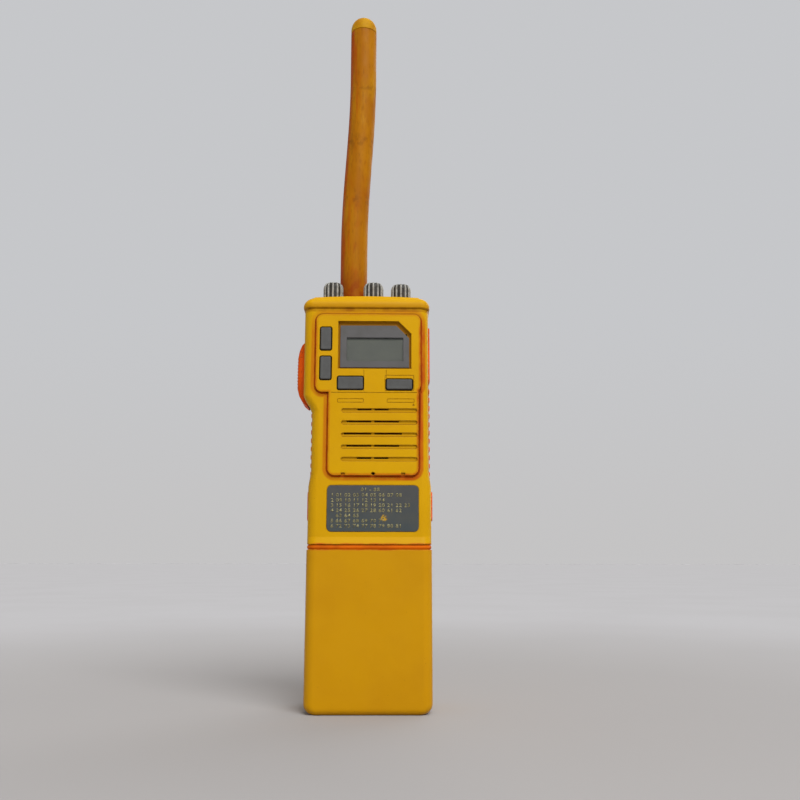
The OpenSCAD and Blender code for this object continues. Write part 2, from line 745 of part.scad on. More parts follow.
basket_y = inner_y + cloth_t;
magnet_y = basket_y + basket_t;
module speaker_cloth() color("black") y_rod(speaker_x, speaker_z, speaker_r - 1, inner_y, basket_y);
module speaker_basket() color("silver") translate([speaker_x, basket_y, speaker_z]) rotate([-90, 0, 0])
    rotate_extrude() polygon([[speaker_r - 2, 0], [speaker_r, 0], [speaker_r, 1.5],
        [9, basket_t], [0, basket_t], [0, basket_t - 0.8], [8.6, basket_t - 0.8],
        [speaker_r - 2, 1.5]]);
module speaker_cone() color("black") translate([speaker_x, basket_y, speaker_z]) rotate([-90, 0, 0])
    rotate_extrude() polygon([[speaker_r - 2.05, 0.3], [speaker_r - 2.05, 0.9], [5, basket_t - 1.8],
        [0, basket_t - 0.8], [0, basket_t - 1.6], [5, basket_t - 2.6]]);
module speaker_magnet() color("gray")
    y_rod(speaker_x, speaker_z, 8, magnet_y, magnet_y + magnet_t);
module microphone() color("silver") y_rod(speaker_x + 0.3, plate_low_z - 0.8, 3, inner_y, inner_y + 4);

// ---- grips ----

module ribs(x0, x1, z1) for (z = [grip_z0 + 1.2 : rib_pitch : z1 - 3.2])
    side_view(x0, x1) rounded(side_y - grip_w / 2 + 1, z, side_y + grip_w / 2 - 1, z + 2.7, 1);
grip_in = waist_w / 2 - grip_sink;
grip_out = waist_w / 2 + grip_proud;
module side_grip_left() color("orangered") {
    side_view(-grip_out, -grip_in) grip_outline(grip_left_z1);
    ribs(-grip_out - rib_proud, -grip_out, grip_left_z1);
}
module side_grip_right() color("orangered") {
    side_view(grip_in, grip_out) {
        grip_outline(cover_z0 - 0.4);
        hinge_strip();
    }
    ribs(grip_out, grip_out + rib_proud, cover_z0 - 0.4);
}

// ---- inside the radio ----

module chassis() color("silver") difference() {
    union() {
        block(-chassis_half, chassis_y, chassis_z0, chassis_half, chassis_y + chassis_t, chassis_z1);
        for (p = board_posts) post(p, post_r, main_y + main_t, chassis_y);
        for (x = [-chassis_half, chassis_half - chassis_lip]) block(x, chassis_y,
            chassis_z0 + chassis_lip_z[0], x + chassis_lip, chassis_y + chassis_lip_d,
            chassis_z1 - chassis_lip_z[1]);
    }
    for (p = board_posts) post(p, screw_r + fit_gap, main_y, chassis_y + chassis_t + 1);
    for (i = [2, 3]) post(housing_posts[i], post_r + 0.5, chassis_y - 1, chassis_y + chassis_t + 1);
}
module main_board() color("darkgreen") difference() {
    block(-main_half, main_y, chassis_z0 + main_in[0], main_half, main_y + main_t,
        chassis_z1 - main_in[1]);
    for (p = board_posts) post(p, screw_r + fit_gap, main_y - 1, main_y + main_t + 1);
}
// Two tinned screening cans, the upper one for the receiver and the lower one for the transmitter
can_d = 5;
can_t = 0.4;
can_h = 18;
can_x = [[-16, 8], [-14, 14]];
can_in = [6, 8]; // the upper one down from the chassis's top, the lower one up from its bottom
module can(x, z0) difference() {
    block(x[0], main_y - can_d, z0, x[1], main_y, z0 + can_h);
    block(x[0] + can_t, main_y - can_d + can_t, z0 + can_t, x[1] - can_t, main_y + 1,
        z0 + can_h - can_t);
}
module shield_can() color("gainsboro") {
    can(can_x[0], chassis_z1 - can_in[0] - can_h);
    can(can_x[1], chassis_z0 + can_in[1]);
}
// The transmitter's power block on its flange, behind the chassis
power_block = [32, 6, 24];
power_flange = [38, 1.4, 28];
power_up = 28;
module power_module() color("dimgray") for (p = [power_block, power_flange]) {
    z = chassis_z0 + power_up + (power_flange[2] - p[2]) / 2;
    block(-p[0] / 2, chassis_y + chassis_t, z, p[0] / 2, chassis_y + chassis_t + p[1], z + p[2]);
}
module board_screws() color("silver") for (p = board_posts) {
    post(p, head_r, main_y - head_t, main_y);
    post(p, screw_r, main_y, chassis_y + chassis_t + board_screw_in);
}
module housing_screws() color("silver") for (p = housing_posts) {
    difference() {
        post(p, head_r, back_y - head_t - 0.4, back_y - 0.4);
        for (a = [0, 90]) translate([p[0], back_y - 0.4, p[1]]) rotate([0, a, 0])
            cube([3.2, 1.2, 0.7], center = true);
    }
    post(p, screw_r, split_y - housing_screw_in, back_y - head_t - 0.4);
}
module clip_inserts() color("goldenrod") for (z = clip_z) difference() {
    y_rod(0, z, insert_r, back_y + pad_proud - insert_len, back_y + pad_proud);
    y_rod(0, z, clip_r, back_y + pad_proud - insert_len - 1, back_y + pad_proud + 1);
}
// The push-to-talk switch and the side key's switch on their small board
switch_half = [2.5, 2.4];
switch_board_t = 1.2;
switch_board_front = 7;
switch_board_up = 4;
talk_switch_up = 16;
module switch_board() color("darkgreen") {
    block(switch_x, side_y - switch_board_front, talk_z0 + switch_board_up, switch_x + switch_board_t,
        chassis_y, side_key_z + switch_half[1]);
    for (z = [talk_z0 + talk_switch_up, side_key_z]) block(switch_x - switch_t,
        side_y - switch_half[0], z - switch_half[1], switch_x, side_y + switch_half[0],
        z + switch_half[1]);
}
module jack_block() color("black") difference() {
    union() {
        block(jack_mouth - jack_len - jack_end, jack_y - jack_half, jack_z[0] - jack_over, right_in,
            main_y, jack_z[1] + jack_over);
        for (i = [0, 1]) x_rod(jack_y, jack_z[i], jack_r[i] + jack_rim, right_in - 1, jack_mouth);
    }
    for (i = [0, 1]) x_rod(jack_y, jack_z[i], jack_r[i], jack_mouth - jack_len, waist_w);
}
module radio_base() color("dimgray") difference() {
    plan_view(foot_z, foot_z + 2.5)
        rounded(-foot_w / 2 + wall, inner_y, foot_w / 2 - wall, back_y - wall, edge_r - wall);
    arm_slots(0, foot_z - 1, foot_z + 4);
    for (x = pin_xs) z_rod(x, pin_y, pin_r + 0.4, foot_z - 1, foot_z + 4);
}
module contact_pins() color("gold") for (x = pin_xs) {
    z_rod(x, pin_y, pin_r + 0.4, foot_z, foot_z + 4.6);
    z_rod(x, pin_y, pin_r, pack_h + 0.5, foot_z);
}

// ---- top controls ----

module rotary_controls() color("silver") for (i = [0:2]) difference() {
    union() {
        block(knob_xs[i] - control_w / 2, knob_y - control_w / 2, control_z0,
            knob_xs[i] + control_w / 2, knob_y + control_w / 2, cap_under);
        z_rod(knob_xs[i], knob_y, bush_r, cap_under, cap_top + nut_t + 0.2);
    }
    z_rod(knob_xs[i], knob_y, shaft_r + fit_gap, control_z0 + 1, knob_top);
    z_rod(knob_xs[i], knob_y, shaft_r + dial_sleeve_t + fit_gap, control_z0 + 1, shaft_z0 + sleeve_up);
}
module control_nuts() color("silver") for (x = knob_xs) difference() {
    translate([x, knob_y, cap_top]) cylinder(r = nut_r, h = nut_t, $fn = 6);
    z_rod(x, knob_y, bush_r, cap_top - 1, cap_top + nut_t + 1);
}
// A fluted knob on its shaft, its skirt hollow over the nut
module knob(x, z0, z1) color("gray") {
    difference() {
        translate([x, knob_y, 0]) rotate_extrude() {
            translate([0, z0]) square([knob_r, z1 - z0 - 1.6]);
            translate([0, z0]) square([knob_r - 1.6, z1 - z0]);
            translate([knob_r - 1.6, z1 - 1.6]) circle(1.6);
        }
        z_rod(x, knob_y, knob_well_r, z0 - 1, z0 + knob_well);
        for (i = [1:flutes]) rotate_about(x, 360 * i / flutes)
            z_rod(x + knob_r + 0.15, knob_y, 0.6, z0 - 1, z1 + 1);
    }
    z_rod(x, knob_y, shaft_r, shaft_z0, z0 + knob_well);
}
module rotate_about(x, a) translate([x, knob_y, 0]) rotate([0, 0, a]) translate([-x, -knob_y, 0])
    children();
module volume_knob() knob(knob_xs[0], knob_z, knob_top);
module squelch_knob() knob(knob_xs[1], knob_z, knob_top);
module dial_knob() knob(knob_xs[2], knob_z + dial_travel, knob_top - dial_drop);
// The sleeve that carries the dial's shaft and goes down when the dial is pushed
module dial_sleeve() color("silver") difference() {
    z_rod(knob_xs[2], knob_y, shaft_r + dial_sleeve_t, shaft_z0 - 1.2, shaft_z0 + sleeve_up - rest_gap);
    z_rod(knob_xs[2], knob_y, shaft_r + fit_gap, shaft_z0 - rest_gap, shaft_z0 + 3);
}

// ---- side controls ----

// The talk button's side seen from the front: a sloping top, a flat face and a long tail
module talk_profile() {
    x = swell_x;
    polygon([[x + talk_root, talk_z1], [x - 0.4, talk_z1], [x - talk_proud * 0.38, talk_z1 - 1.6],
        [x - talk_proud * 0.72, talk_z1 - 5], [x - talk_proud * 0.93, talk_z1 - 9],
        [x - talk_proud, talk_z1 - 13], [x - talk_proud, talk_z0 + 13],
        [x - talk_proud * 0.9, talk_z0 + 9], [x - talk_proud * 0.66, talk_z0 + 5.2],
        [x - talk_proud * 0.3, talk_z0 + 2.4], [x + 0.8, talk_z0 + 0.5], [x + talk_root, talk_z0]]);
}
module talk_button() color("orangered") {
    intersection() {
        front_view(side_y - talk_w / 2, side_y + talk_w / 2) talk_profile();
        side_view(swell_x - talk_proud, 0) talk_outline(0);
        plan_view(talk_z0, talk_z1) rounded(swell_x - talk_proud, side_y - talk_w / 2, 0,
            side_y + talk_w / 2, 3);
    }
    side_view(swell_x + talk_root, talk_in - talk_flange_t) intersection() {
        talk_outline(0);
        translate([side_y - talk_w, talk_z0 + talk_stop]) square([talk_w * 2, talk_h]);
    }
    side_view(talk_in - talk_flange_t, talk_in)
        rounded(side_y - talk_w / 2 - talk_flange, talk_z0 + talk_stop,
            side_y + talk_w / 2 + talk_flange, talk_z1 + talk_flange, 2);
}
module side_key() color("orangered") {
    x_rod(side_y, side_key_z, side_key_r, swell_x - 1, swell_x + wall + move_gap);
    x_rod(side_y, side_key_z, side_key_r + move_gap + 0.5, swell_x + wall + move_gap,
        swell_x + wall + move_gap + key_flange_t);
}
module jack_cover() color("orangered")
    side_view(waist_w / 2 - cover_sink + move_gap, waist_w / 2 - cover_sink + move_gap + cover_t)
        cover_outline(0);
// A release bar with its arm that reaches down into the pack's lid
module latch() {
    side_view(arm_x + arm_t, foot_w / 2 + latch_out) latch_outline(0);
    block(arm_x, side_y - arm_w / 2, arm_low, arm_x + arm_t, side_y + arm_w / 2, latch_z0 + latch_h - 1);
}
module latch_right() color("orangered") latch();
module latch_left() color("orangered") mirror([1, 0, 0]) latch();

// ---- antenna ----

// A round rod of radius r along the antenna's line, from z0 to z1. Its rings stay level and
// move over to the right along half a cosine wave.
ring_sides = 32;
bend_steps = 10;
function lean_at(z) = let(t = min(1, max(0, (z - bend_z0) / (bend_z1 - bend_z0))))
    antenna_lean * (1 - cos(180 * t)) / 2;
module antenna_line(r, z0, z1) {
    heights = concat([z0], [for (i = [0:bend_steps]) bend_z0 + (bend_z1 - bend_z0) * i / bend_steps],
        [z1]);
    n = len(heights);
    rings = [for (z = heights, k = [0:ring_sides - 1]) let(a = 360 * k / ring_sides)
        [antenna_x + lean_at(z) + r * cos(a), antenna_back + r * sin(a), z]];
    sides = [for (i = [0:n - 2], k = [0:ring_sides - 1]) let(m = (k + 1) % ring_sides)
        [i * ring_sides + k, (i + 1) * ring_sides + k, (i + 1) * ring_sides + m, i * ring_sides + m]];
    foot = [for (k = [0:ring_sides - 1]) k];
    top = [for (k = [ring_sides - 1:-1:0]) (n - 1) * ring_sides + k];
    polyhedron(rings, concat(sides, [foot, top]));
}
module antenna_sleeve() color("darkorange") difference() {
    antenna_line(antenna_r, antenna_z0, antenna_top - tip_h);
    antenna_line(core_r, antenna_z0 - 1, antenna_top);
}
// The cap on the tip, with a spigot down into the sleeve
module antenna_tip() color("gold") translate([antenna_x + antenna_lean, antenna_back, 0])
    rotate_extrude() {
        translate([0, antenna_top - tip_h]) square([antenna_r, tip_h - tip_round]);
        translate([0, antenna_top - tip_h]) square([antenna_r - tip_round, tip_h]);
        intersection() {
            translate([antenna_r - tip_round, antenna_top - tip_round]) circle(tip_round);
            translate([0, antenna_top - tip_round]) square([antenna_r, tip_round]);
        }
        translate([0, antenna_top - tip_h - spigot_h]) square([core_r - 0.2, spigot_h]);
    }
module antenna_core() color("peru")
    antenna_line(core_r - fit_gap, antenna_z0 + flange_t, antenna_top - tip_h - spigot_h);
module antenna_stud() color("goldenrod") {
    z_rod(antenna_x, antenna_back, core_r - move_gap, antenna_z0 + rest_gap, antenna_z0 + flange_t);
    z_rod(antenna_x, antenna_back, stud_r, antenna_z0 - stud_h, antenna_z0 + rest_gap);
}
module antenna_washer() color("black") difference() {
    z_rod(antenna_x, antenna_back, antenna_r - 0.5, cap_top + rest_gap, cap_top + rest_gap + washer_t);
    z_rod(antenna_x, antenna_back, stud_r + move_gap, cap_top - 1, cap_top + 3);
}
module antenna_socket() color("goldenrod") difference() {
    union() {
        z_rod(antenna_x, antenna_back, stud_r + 1.95, cap_under - 12, cap_top);
        z_rod(antenna_x, antenna_back, stud_r + 3.4, cap_under - 2.4, cap_under);
    }
    z_rod(antenna_x, antenna_back, stud_r + fit_gap, antenna_z0 - stud_h - 0.5, cap_top + 1);
}

battery_case();
battery_lid();
battery_seal();
battery_cells();
cell_holders();
cell_links();
battery_board();
battery_contacts();
front_shell();
rear_shell();
housing_seals();
top_cap();
front_plate();
plate_gasket();
display_mask();
display_window();
display_module();
key_membrane();
front_board();
instruction_plate();
speaker_cloth();
speaker_basket();
speaker_cone();
speaker_magnet();
microphone();
side_grip_left();
side_grip_right();
chassis();
main_board();
shield_can();
power_module();
board_screws();
housing_screws();
clip_inserts();
antenna_socket();
rotary_controls();
control_nuts();
jack_block();
switch_board();
radio_base();
contact_pins();
talk_button();
side_key();
key_scan();
key_light();
key_left();
key_right();
volume_knob();
squelch_knob();
dial_knob();
dial_sleeve();
jack_cover();
latch_left();
latch_right();
antenna_sleeve();
antenna_tip();
antenna_core();
antenna_stud();
antenna_washer();
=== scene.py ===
import math

import bmesh
import bpy
from mathutils import Matrix, Vector


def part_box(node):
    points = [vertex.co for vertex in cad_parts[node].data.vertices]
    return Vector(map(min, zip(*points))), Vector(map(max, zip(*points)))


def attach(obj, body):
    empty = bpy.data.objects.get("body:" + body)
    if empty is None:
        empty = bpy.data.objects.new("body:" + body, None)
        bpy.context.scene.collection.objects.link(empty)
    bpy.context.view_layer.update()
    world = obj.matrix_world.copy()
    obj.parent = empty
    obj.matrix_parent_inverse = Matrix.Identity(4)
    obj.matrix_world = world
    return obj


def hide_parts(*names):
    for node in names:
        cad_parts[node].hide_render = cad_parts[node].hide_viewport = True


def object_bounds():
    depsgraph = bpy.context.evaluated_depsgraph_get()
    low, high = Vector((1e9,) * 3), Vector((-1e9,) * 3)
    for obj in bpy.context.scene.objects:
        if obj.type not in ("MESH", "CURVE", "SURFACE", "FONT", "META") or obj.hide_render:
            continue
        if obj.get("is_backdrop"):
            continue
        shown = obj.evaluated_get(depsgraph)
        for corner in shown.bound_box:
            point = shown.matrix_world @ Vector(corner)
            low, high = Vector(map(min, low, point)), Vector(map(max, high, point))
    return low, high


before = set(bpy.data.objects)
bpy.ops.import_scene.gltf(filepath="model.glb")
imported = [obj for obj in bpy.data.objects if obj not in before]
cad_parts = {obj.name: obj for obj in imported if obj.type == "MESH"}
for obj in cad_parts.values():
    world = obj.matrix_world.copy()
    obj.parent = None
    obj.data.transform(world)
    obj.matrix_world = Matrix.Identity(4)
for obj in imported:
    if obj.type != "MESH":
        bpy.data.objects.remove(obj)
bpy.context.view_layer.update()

# ---------------------------------------------------------------------------
# 1. Battery case
# The pack's case is one moulding of glossy yellow ABS with a 2 mm wall. Its lower edges are
# round, and two brass charging discs sit in shallow wells low on its back.
# ---------------------------------------------------------------------------

MM = 0.001
CORNER_STEPS = 8
METAL_GLOSS = 0.5
BEVEL_RAYS = 4


def node(tree, kind, values=(), **fields):
    """A node with its own fields. An input takes a value, a socket to link, or a list of those."""
    made = tree.nodes.new(kind)
    for name, value in fields.items():
        setattr(made, name, value)
    for name, value in dict(values).items():
        for source in value if isinstance(value, list) else [value]:
            if isinstance(source, bpy.types.NodeSocket):
                tree.links.new(source, made.inputs[name])
            else:
                made.inputs[name].default_value = source
    return made


def maths(tree, operation, *terms):
    """One step of arithmetic."""
    return node(tree, "ShaderNodeMath", enumerate(terms), operation=operation).outputs[0]


def vector_maths(tree, operation, *terms):
    """One step with vectors. A length or a dot product gives a number."""
    made = node(tree, "ShaderNodeVectorMath", enumerate(terms), operation=operation)
    return made.outputs["Value" if operation in ("LENGTH", "DOT_PRODUCT") else "Vector"]


def product(tree, *factors):
    """All the factors multiplied together."""
    total = factors[0]
    for factor in factors[1:]:
        total = maths(tree, "MULTIPLY", total, factor)
    return total


def spread(tree, value, low, high, to_low=0.0, to_high=1.0):
    """Maps low..high to to_low..to_high with a smooth step."""
    values = {"Value": value, "From Min": low, "From Max": high, "To Min": to_low, "To Max": to_high}
    return node(tree, "ShaderNodeMapRange", values, interpolation_type="SMOOTHSTEP").outputs["Result"]


def blended(tree, factor, under, over):
    """The colour under, covered by the colour over where the factor is 1."""
    under, over = [(*colour, 1.0) if isinstance(colour, tuple) else colour for colour in (under, over)]
    return node(tree, "ShaderNodeMix", {"Factor": factor, 6: under, 7: over}, data_type="RGBA").outputs[2]


def along(tree, where, axis="Z"):
    """One coordinate of a place, in metres."""
    return node(tree, "ShaderNodeSeparateXYZ", {0: where}).outputs[axis]


# A mask is a function of a tree and a place that returns a socket. These make masks.


def grain(per_mm, detail, stretch=(1, 1, 1)):
    """Plain noise with this many features per millimetre."""
    def make(tree, where):
        scaled = vector_maths(tree, "MULTIPLY", where, stretch)
        values = {"Vector": scaled, "Scale": per_mm / MM, "Detail": detail}
        return node(tree, "ShaderNodeTexNoise", values).outputs["Fac"]
    return make


def patches(per_mm, detail, low, high, to_low=0.0, to_high=1.0, stretch=(1, 1, 1)):
    """Noise that is spread out between two of its levels."""
    def make(tree, where):
        return spread(tree, grain(per_mm, detail, stretch)(tree, where), low, high, to_low, to_high)
    return make


def ramp(axis, start, end, to_low=0.0, to_high=1.0):
    """Grows along an axis from one place to another, in millimetres."""
    def make(tree, where):
        return spread(tree, along(tree, where, axis), start * MM, end * MM, to_low, to_high)
    return make


def all_of(*masks):
    """The product of several masks."""
    def make(tree, where):
        return product(tree, *[mask(tree, where) for mask in masks])
    return make


def worn_edge(width, per_mm=0.5):
    """1 on sharp edges, where the rounded normal turns away, broken up by noise."""
    def make(tree, where):
        soft = node(tree, "ShaderNodeBevel", {"Radius": width * MM}, samples=BEVEL_RAYS).outputs["Normal"]
        plain = node(tree, "ShaderNodeNewGeometry").outputs["Normal"]
        edge = spread(tree, vector_maths(tree, "DOT_PRODUCT", soft, plain), 0.995, 0.88)
        return product(tree, edge, patches(per_mm, 4, 0.42, 0.62)(tree, where))
    return make


def painted(name, colour, roughness, layers=(), dull=None, reliefs=(), edge=0.0, metallic=0.0, gloss=0.3,
            under=None):
    """A material of layers (mask, colour, strength), with a mask for its roughness.

    The layers lie over the plain colour, or over the tone under if there is one. The bump comes
    from pairs of mask and depth in mm, over edges rounded by edge mm.
    """
    made = bpy.data.materials.new(name)
    made.use_nodes = True
    made.diffuse_color = (*colour, 1.0)
    tree = made.node_tree
    tree.nodes.clear()
    shader = node(tree, "ShaderNodeBsdfPrincipled", {
        "Base Color": (*colour, 1.0), "Roughness": roughness, "Metallic": metallic,
        "Specular IOR Level": METAL_GLOSS if metallic else gloss})
    node(tree, "ShaderNodeOutputMaterial", {"Surface": shader.outputs["BSDF"]})
    where = node(tree, "ShaderNodeTexCoord").outputs["Object"]
    tone = under or colour
    for mask, over, *strength in layers:
        tone = blended(tree, product(tree, mask(tree, where), *strength), tone, over)
    normal = None
    if edge:
        normal = node(tree, "ShaderNodeBevel", {"Radius": edge * MM}, samples=BEVEL_RAYS).outputs["Normal"]
    for height, depth in reliefs:
        values = {"Strength": 1.0, "Distance": depth * MM, "Height": height(tree, where)}
        if normal:
            values["Normal"] = normal
        normal = node(tree, "ShaderNodeBump", values).outputs["Normal"]
    if layers:
        tree.links.new(tone, shader.inputs["Base Color"])
    if dull:
        tree.links.new(dull(tree, where), shader.inputs["Roughness"])
    if normal:
        tree.links.new(normal, shader.inputs["Normal"])
    return made


def quarter(steps):
    """The angles of a quarter turn in equal steps."""
    return [math.radians(90 * i / steps) for i in range(steps + 1)]


def rounded_ring(x0, x1, y0, y1, r, z, steps=CORNER_STEPS):
    """The corners of a rounded rectangle at height z, in metres, anticlockwise from above."""
    r = max(r, 0.01)
    points = []
    for cx, cy, start in ((x1 - r, y1 - r, 0), (x0 + r, y1 - r, 90),
                          (x0 + r, y0 + r, 180), (x1 - r, y0 + r, 270)):
        for i in range(steps + 1):
            a = math.radians(start + 90 * i / steps)
            points.append(Vector((cx + r * math.cos(a), cy + r * math.sin(a), z)) * MM)
    return points


def box_ring(box, inset_x, inset_y, r, z):
    """A rounded ring round a box, with its sides moved in."""
    return rounded_ring(box.x0 + inset_x, box.x1 - inset_x, box.y0 + inset_y, box.y1 - inset_y, r, z)


def loft(rings):
    """A closed solid through rings of the same number of points, bottom first."""
    bm = bmesh.new()
    levels = [[bm.verts.new(p) for p in ring] for ring in rings]
    count = len(levels[0])
    for low, high in zip(levels, levels[1:]):
        for i in range(count):
            k = (i + 1) % count
            bm.faces.new((low[i], low[k], high[k], high[i]))
    bm.faces.new(list(reversed(levels[0])))
    bm.faces.new(levels[-1])
    return bm


def placed(name, data):
    """A new object of the scene."""
    made = bpy.data.objects.new(name, data)
    bpy.context.scene.collection.objects.link(made)
    return made


def solid(name, bm, *materials):
    """A new object from a bmesh, with its materials."""
    mesh = bpy.data.meshes.new(name)
    bm.to_mesh(mesh)
    bm.free()
    for material in materials:
        mesh.materials.append(material)
    return placed(name, mesh)


def whole_mesh(obj):
    """The object's shape as a mesh, with its modifiers applied."""
    graph = bpy.context.evaluated_depsgraph_get()
    graph.update()
    return bpy.data.meshes.new_from_object(obj.evaluated_get(graph), preserve_all_data_layers=True,
                                           depsgraph=graph)


def applied(obj):
    """The object with its modifiers made part of its mesh."""
    whole = whole_mesh(obj)
    obj.modifiers.clear()
    obj.data = whole
    return obj


def settle(obj, smooth=38):
    """Applies the modifiers, and shades smooth up to this angle with flat faces kept flat."""
    if "custom_normal" in obj.data.attributes:
        obj.data.attributes.remove(obj.data.attributes["custom_normal"])
    obj.data.shade_smooth()
    obj.data.set_sharp_from_angle(angle=math.radians(smooth))
    obj.modifiers.new("flats", "WEIGHTED_NORMAL").keep_sharp = True
    return applied(obj)


def carve(obj, tool, operation="DIFFERENCE"):
    """Cuts the tool out of the object, or keeps what both share."""
    step = obj.modifiers.new("carve", "BOOLEAN")
    step.operation, step.solver, step.object = operation, "EXACT", tool
    applied(obj)
    bpy.data.objects.remove(tool)


def rod_tool(centre, radius, half_length, upright=False, sides=32):
    """A rod to carve with, from front to back or upright."""
    bm = bmesh.new()
    place = Matrix.Translation(Vector(centre) * MM)
    if not upright:
        place = place @ Matrix.Rotation(math.pi / 2, 4, "X")
    bmesh.ops.create_cone(bm, cap_ends=True, segments=sides, radius1=radius * MM, radius2=radius * MM,
                          depth=2 * half_length * MM, matrix=place)
    return solid("tool", bm)


class Edges:
    """The sides of a CAD node's box, in millimetres."""

    def __init__(self, name):
        low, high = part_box(name)
        self.x0, self.y0, self.z0 = [value / MM for value in low]
        self.x1, self.y1, self.z1 = [value / MM for value in high]


def fitted(obj, body, slot, *nodes):
    """Puts a piece on its body and hides the CAD nodes it stands for; the slot is not used."""
    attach(obj, body)
    if nodes:
        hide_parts(*nodes)
    return obj


SHELL_YELLOW, SHELL_DEEP, SHELL_GLOSS = (0.67, 0.355, 0.002), (0.60, 0.30, 0.001), 0.085
PACK_YELLOW, PACK_DEEP, PACK_GLOSS = (0.60, 0.288, 0.001), (0.54, 0.245, 0.001), 0.12
STAIN_ORANGE, GRIME_AND_SHADE, SCUFFED = (0.52, 0.10, 0.003), (0.20, 0.075, 0.004), (0.74, 0.42, 0.03)
SEAM_FADE = 0.7


def shell_plastic(name, edge=0.35, overlays=(), yellow=SHELL_YELLOW, deep=SHELL_DEEP, gloss=SHELL_GLOSS):
    """Yellow plastic: slightly blotched, with stains and painted shade laid over, and scuffed on its edges.
    """
    return painted(name, yellow, 0.4, [
        (patches(0.035, 4, 0.35, 0.72), deep, 0.6), (patches(0.9, 2, 0.73, 0.78), GRIME_AND_SHADE, 0.35),
        *overlays, (worn_edge(0.5), SCUFFED, 0.5)],
        patches(0.12, 5, 0.3, 0.7, 0.34, 0.5),
        [(grain(4.0, 2), 0.012), (patches(0.22, 3, 0.3, 0.75), 0.03)], edge, gloss=gloss)


def seam_band(low, high):
    """A mask between two heights that fades over a few tenths and is broken up by noise."""
    return all_of(ramp("Z", low - SEAM_FADE, low), ramp("Z", high + SEAM_FADE, high),
                  patches(0.15, 4, 0.3, 0.7, 0.25, 1.0))


pack = Edges("battery_case")
PACK_WALL, PACK_EDGE_R, PACK_END_R, PACK_FACE_R, PACK_EDGE_LOSS = 2.0, 5.0, 5.0, 3.0, 2.5
RIM_DOWN, RIM_IN, PACK_SEAM = 0.3, 0.25, (77.4, 78.4)
CHARGE_X, CHARGE_Z, CHARGE_R, CHARGE_DEEP = 8.0, 14.0, 2.5, 0.7

rings = []
for turn in quarter(8):
    z = PACK_END_R * (1 - math.cos(turn))
    over = PACK_FACE_R - min(z, PACK_FACE_R)
    inset_y = PACK_FACE_R - math.sqrt(max(PACK_FACE_R ** 2 - over ** 2, 0))
    rings.append(box_ring(pack, PACK_END_R * (1 - math.sin(turn)), inset_y,
                          PACK_EDGE_R - min(inset_y, PACK_EDGE_LOSS), z))
rings.append(box_ring(pack, 0, 0, PACK_EDGE_R, pack.z1 - RIM_DOWN))
rings.append(box_ring(pack, RIM_IN, RIM_IN, PACK_EDGE_R - RIM_IN, pack.z1))
for z in (pack.z1, PACK_WALL):
    rings.append(box_ring(pack, PACK_WALL, PACK_WALL, PACK_EDGE_R - PACK_WALL, z))

case_plastic = shell_plastic("pack_yellow", 0.0, [(seam_band(*PACK_SEAM), STAIN_ORANGE, 0.95)],
                             PACK_YELLOW, PACK_DEEP, PACK_GLOSS)
pack_case = solid("pack_case", loft(rings), case_plastic)
for side in (-1, 1):
    carve(pack_case, rod_tool((side * CHARGE_X, pack.y1, CHARGE_Z), CHARGE_R, CHARGE_DEEP))
fitted(settle(pack_case), "battery_pack", "shell_yellow", "battery_case")

# ---------------------------------------------------------------------------
# 2. Inside the battery pack, and its lid
# Eight sleeved cells stand in ivory holders, tied by nickel links under a small board. The lid
# is dark moulded plastic with slots for the release arms, and the contacts in it are brass.
# ---------------------------------------------------------------------------


def plain_finish(name, colour, roughness, metallic=0.0, fine=3.0, depth=0.01, other=None, per_mm=0.1,
                 gloss=0.3):
    """A finish for hidden and small pieces: two tones in patches, with a fine grain."""
    tone = other or tuple(c * 0.72 for c in colour)
    low, high = max(roughness - 0.06, 0.05), min(roughness + 0.1, 1.0)
    return painted(name, colour, roughness, [(patches(per_mm, 4, 0.35, 0.7), tone)],
                   patches(per_mm * 6, 3, 0.3, 0.7, low, high), [(grain(fine, 2), depth)],
                   0.2, metallic, gloss)


def dress(material, *names):
    """Gives CAD nodes a material and leaves their shape alone."""
    for name in names:
        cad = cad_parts[name]
        for slot in cad.material_slots:
            slot.material = material
        if not len(cad.material_slots):
            cad.data.materials.append(material)


dark_plastic = plain_finish("dark_plastic", (0.035, 0.035, 0.036), 0.5, fine=5.0, depth=0.015)
ivory = plain_finish("holder_ivory", (0.62, 0.56, 0.42), 0.5)
cell_sleeve = plain_finish("cell_sleeve", (0.05, 0.24, 0.13), 0.3, per_mm=0.05)
nickel = plain_finish("nickel", (0.62, 0.60, 0.55), 0.28, 1.0, fine=2.0)
board_green = plain_finish("board_green", (0.02, 0.14, 0.05), 0.4, other=(0.03, 0.22, 0.08), per_mm=0.6)
brass = plain_finish("brass", (0.72, 0.48, 0.16), 0.3, 1.0, fine=2.5)

dress(dark_plastic, "battery_lid")
dress(ivory, "cell_holders")
dress(cell_sleeve, "battery_cells")
dress(nickel, "cell_links")
dress(board_green, "battery_board")
dress(brass, "battery_contacts")

# ---------------------------------------------------------------------------
# 3. Seam gasket between pack and radio
# A round cord of orange silicone lies in the joint and is squeezed when the pack locks on.
# It is a bead swept along a rounded path by Geometry Nodes.
# ---------------------------------------------------------------------------


def tree_with(name, **sizes):
    """A Geometry Nodes tree with geometry in and out, named sizes and a material input."""
    tree = bpy.data.node_groups.new(name, "GeometryNodeTree")
    add = tree.interface.new_socket
    kinds = {int: "NodeSocketInt", float: "NodeSocketFloat", tuple: "NodeSocketVector"}
    add("Geometry", in_out="INPUT", socket_type="NodeSocketGeometry")
    for label, value in sizes.items():
        add(label, in_out="INPUT", socket_type=kinds[type(value)]).default_value = value
    add("Finish", in_out="INPUT", socket_type="NodeSocketMaterial")
    add("Geometry", in_out="OUTPUT", socket_type="NodeSocketGeometry")
    return tree, node(tree, "NodeGroupInput").outputs


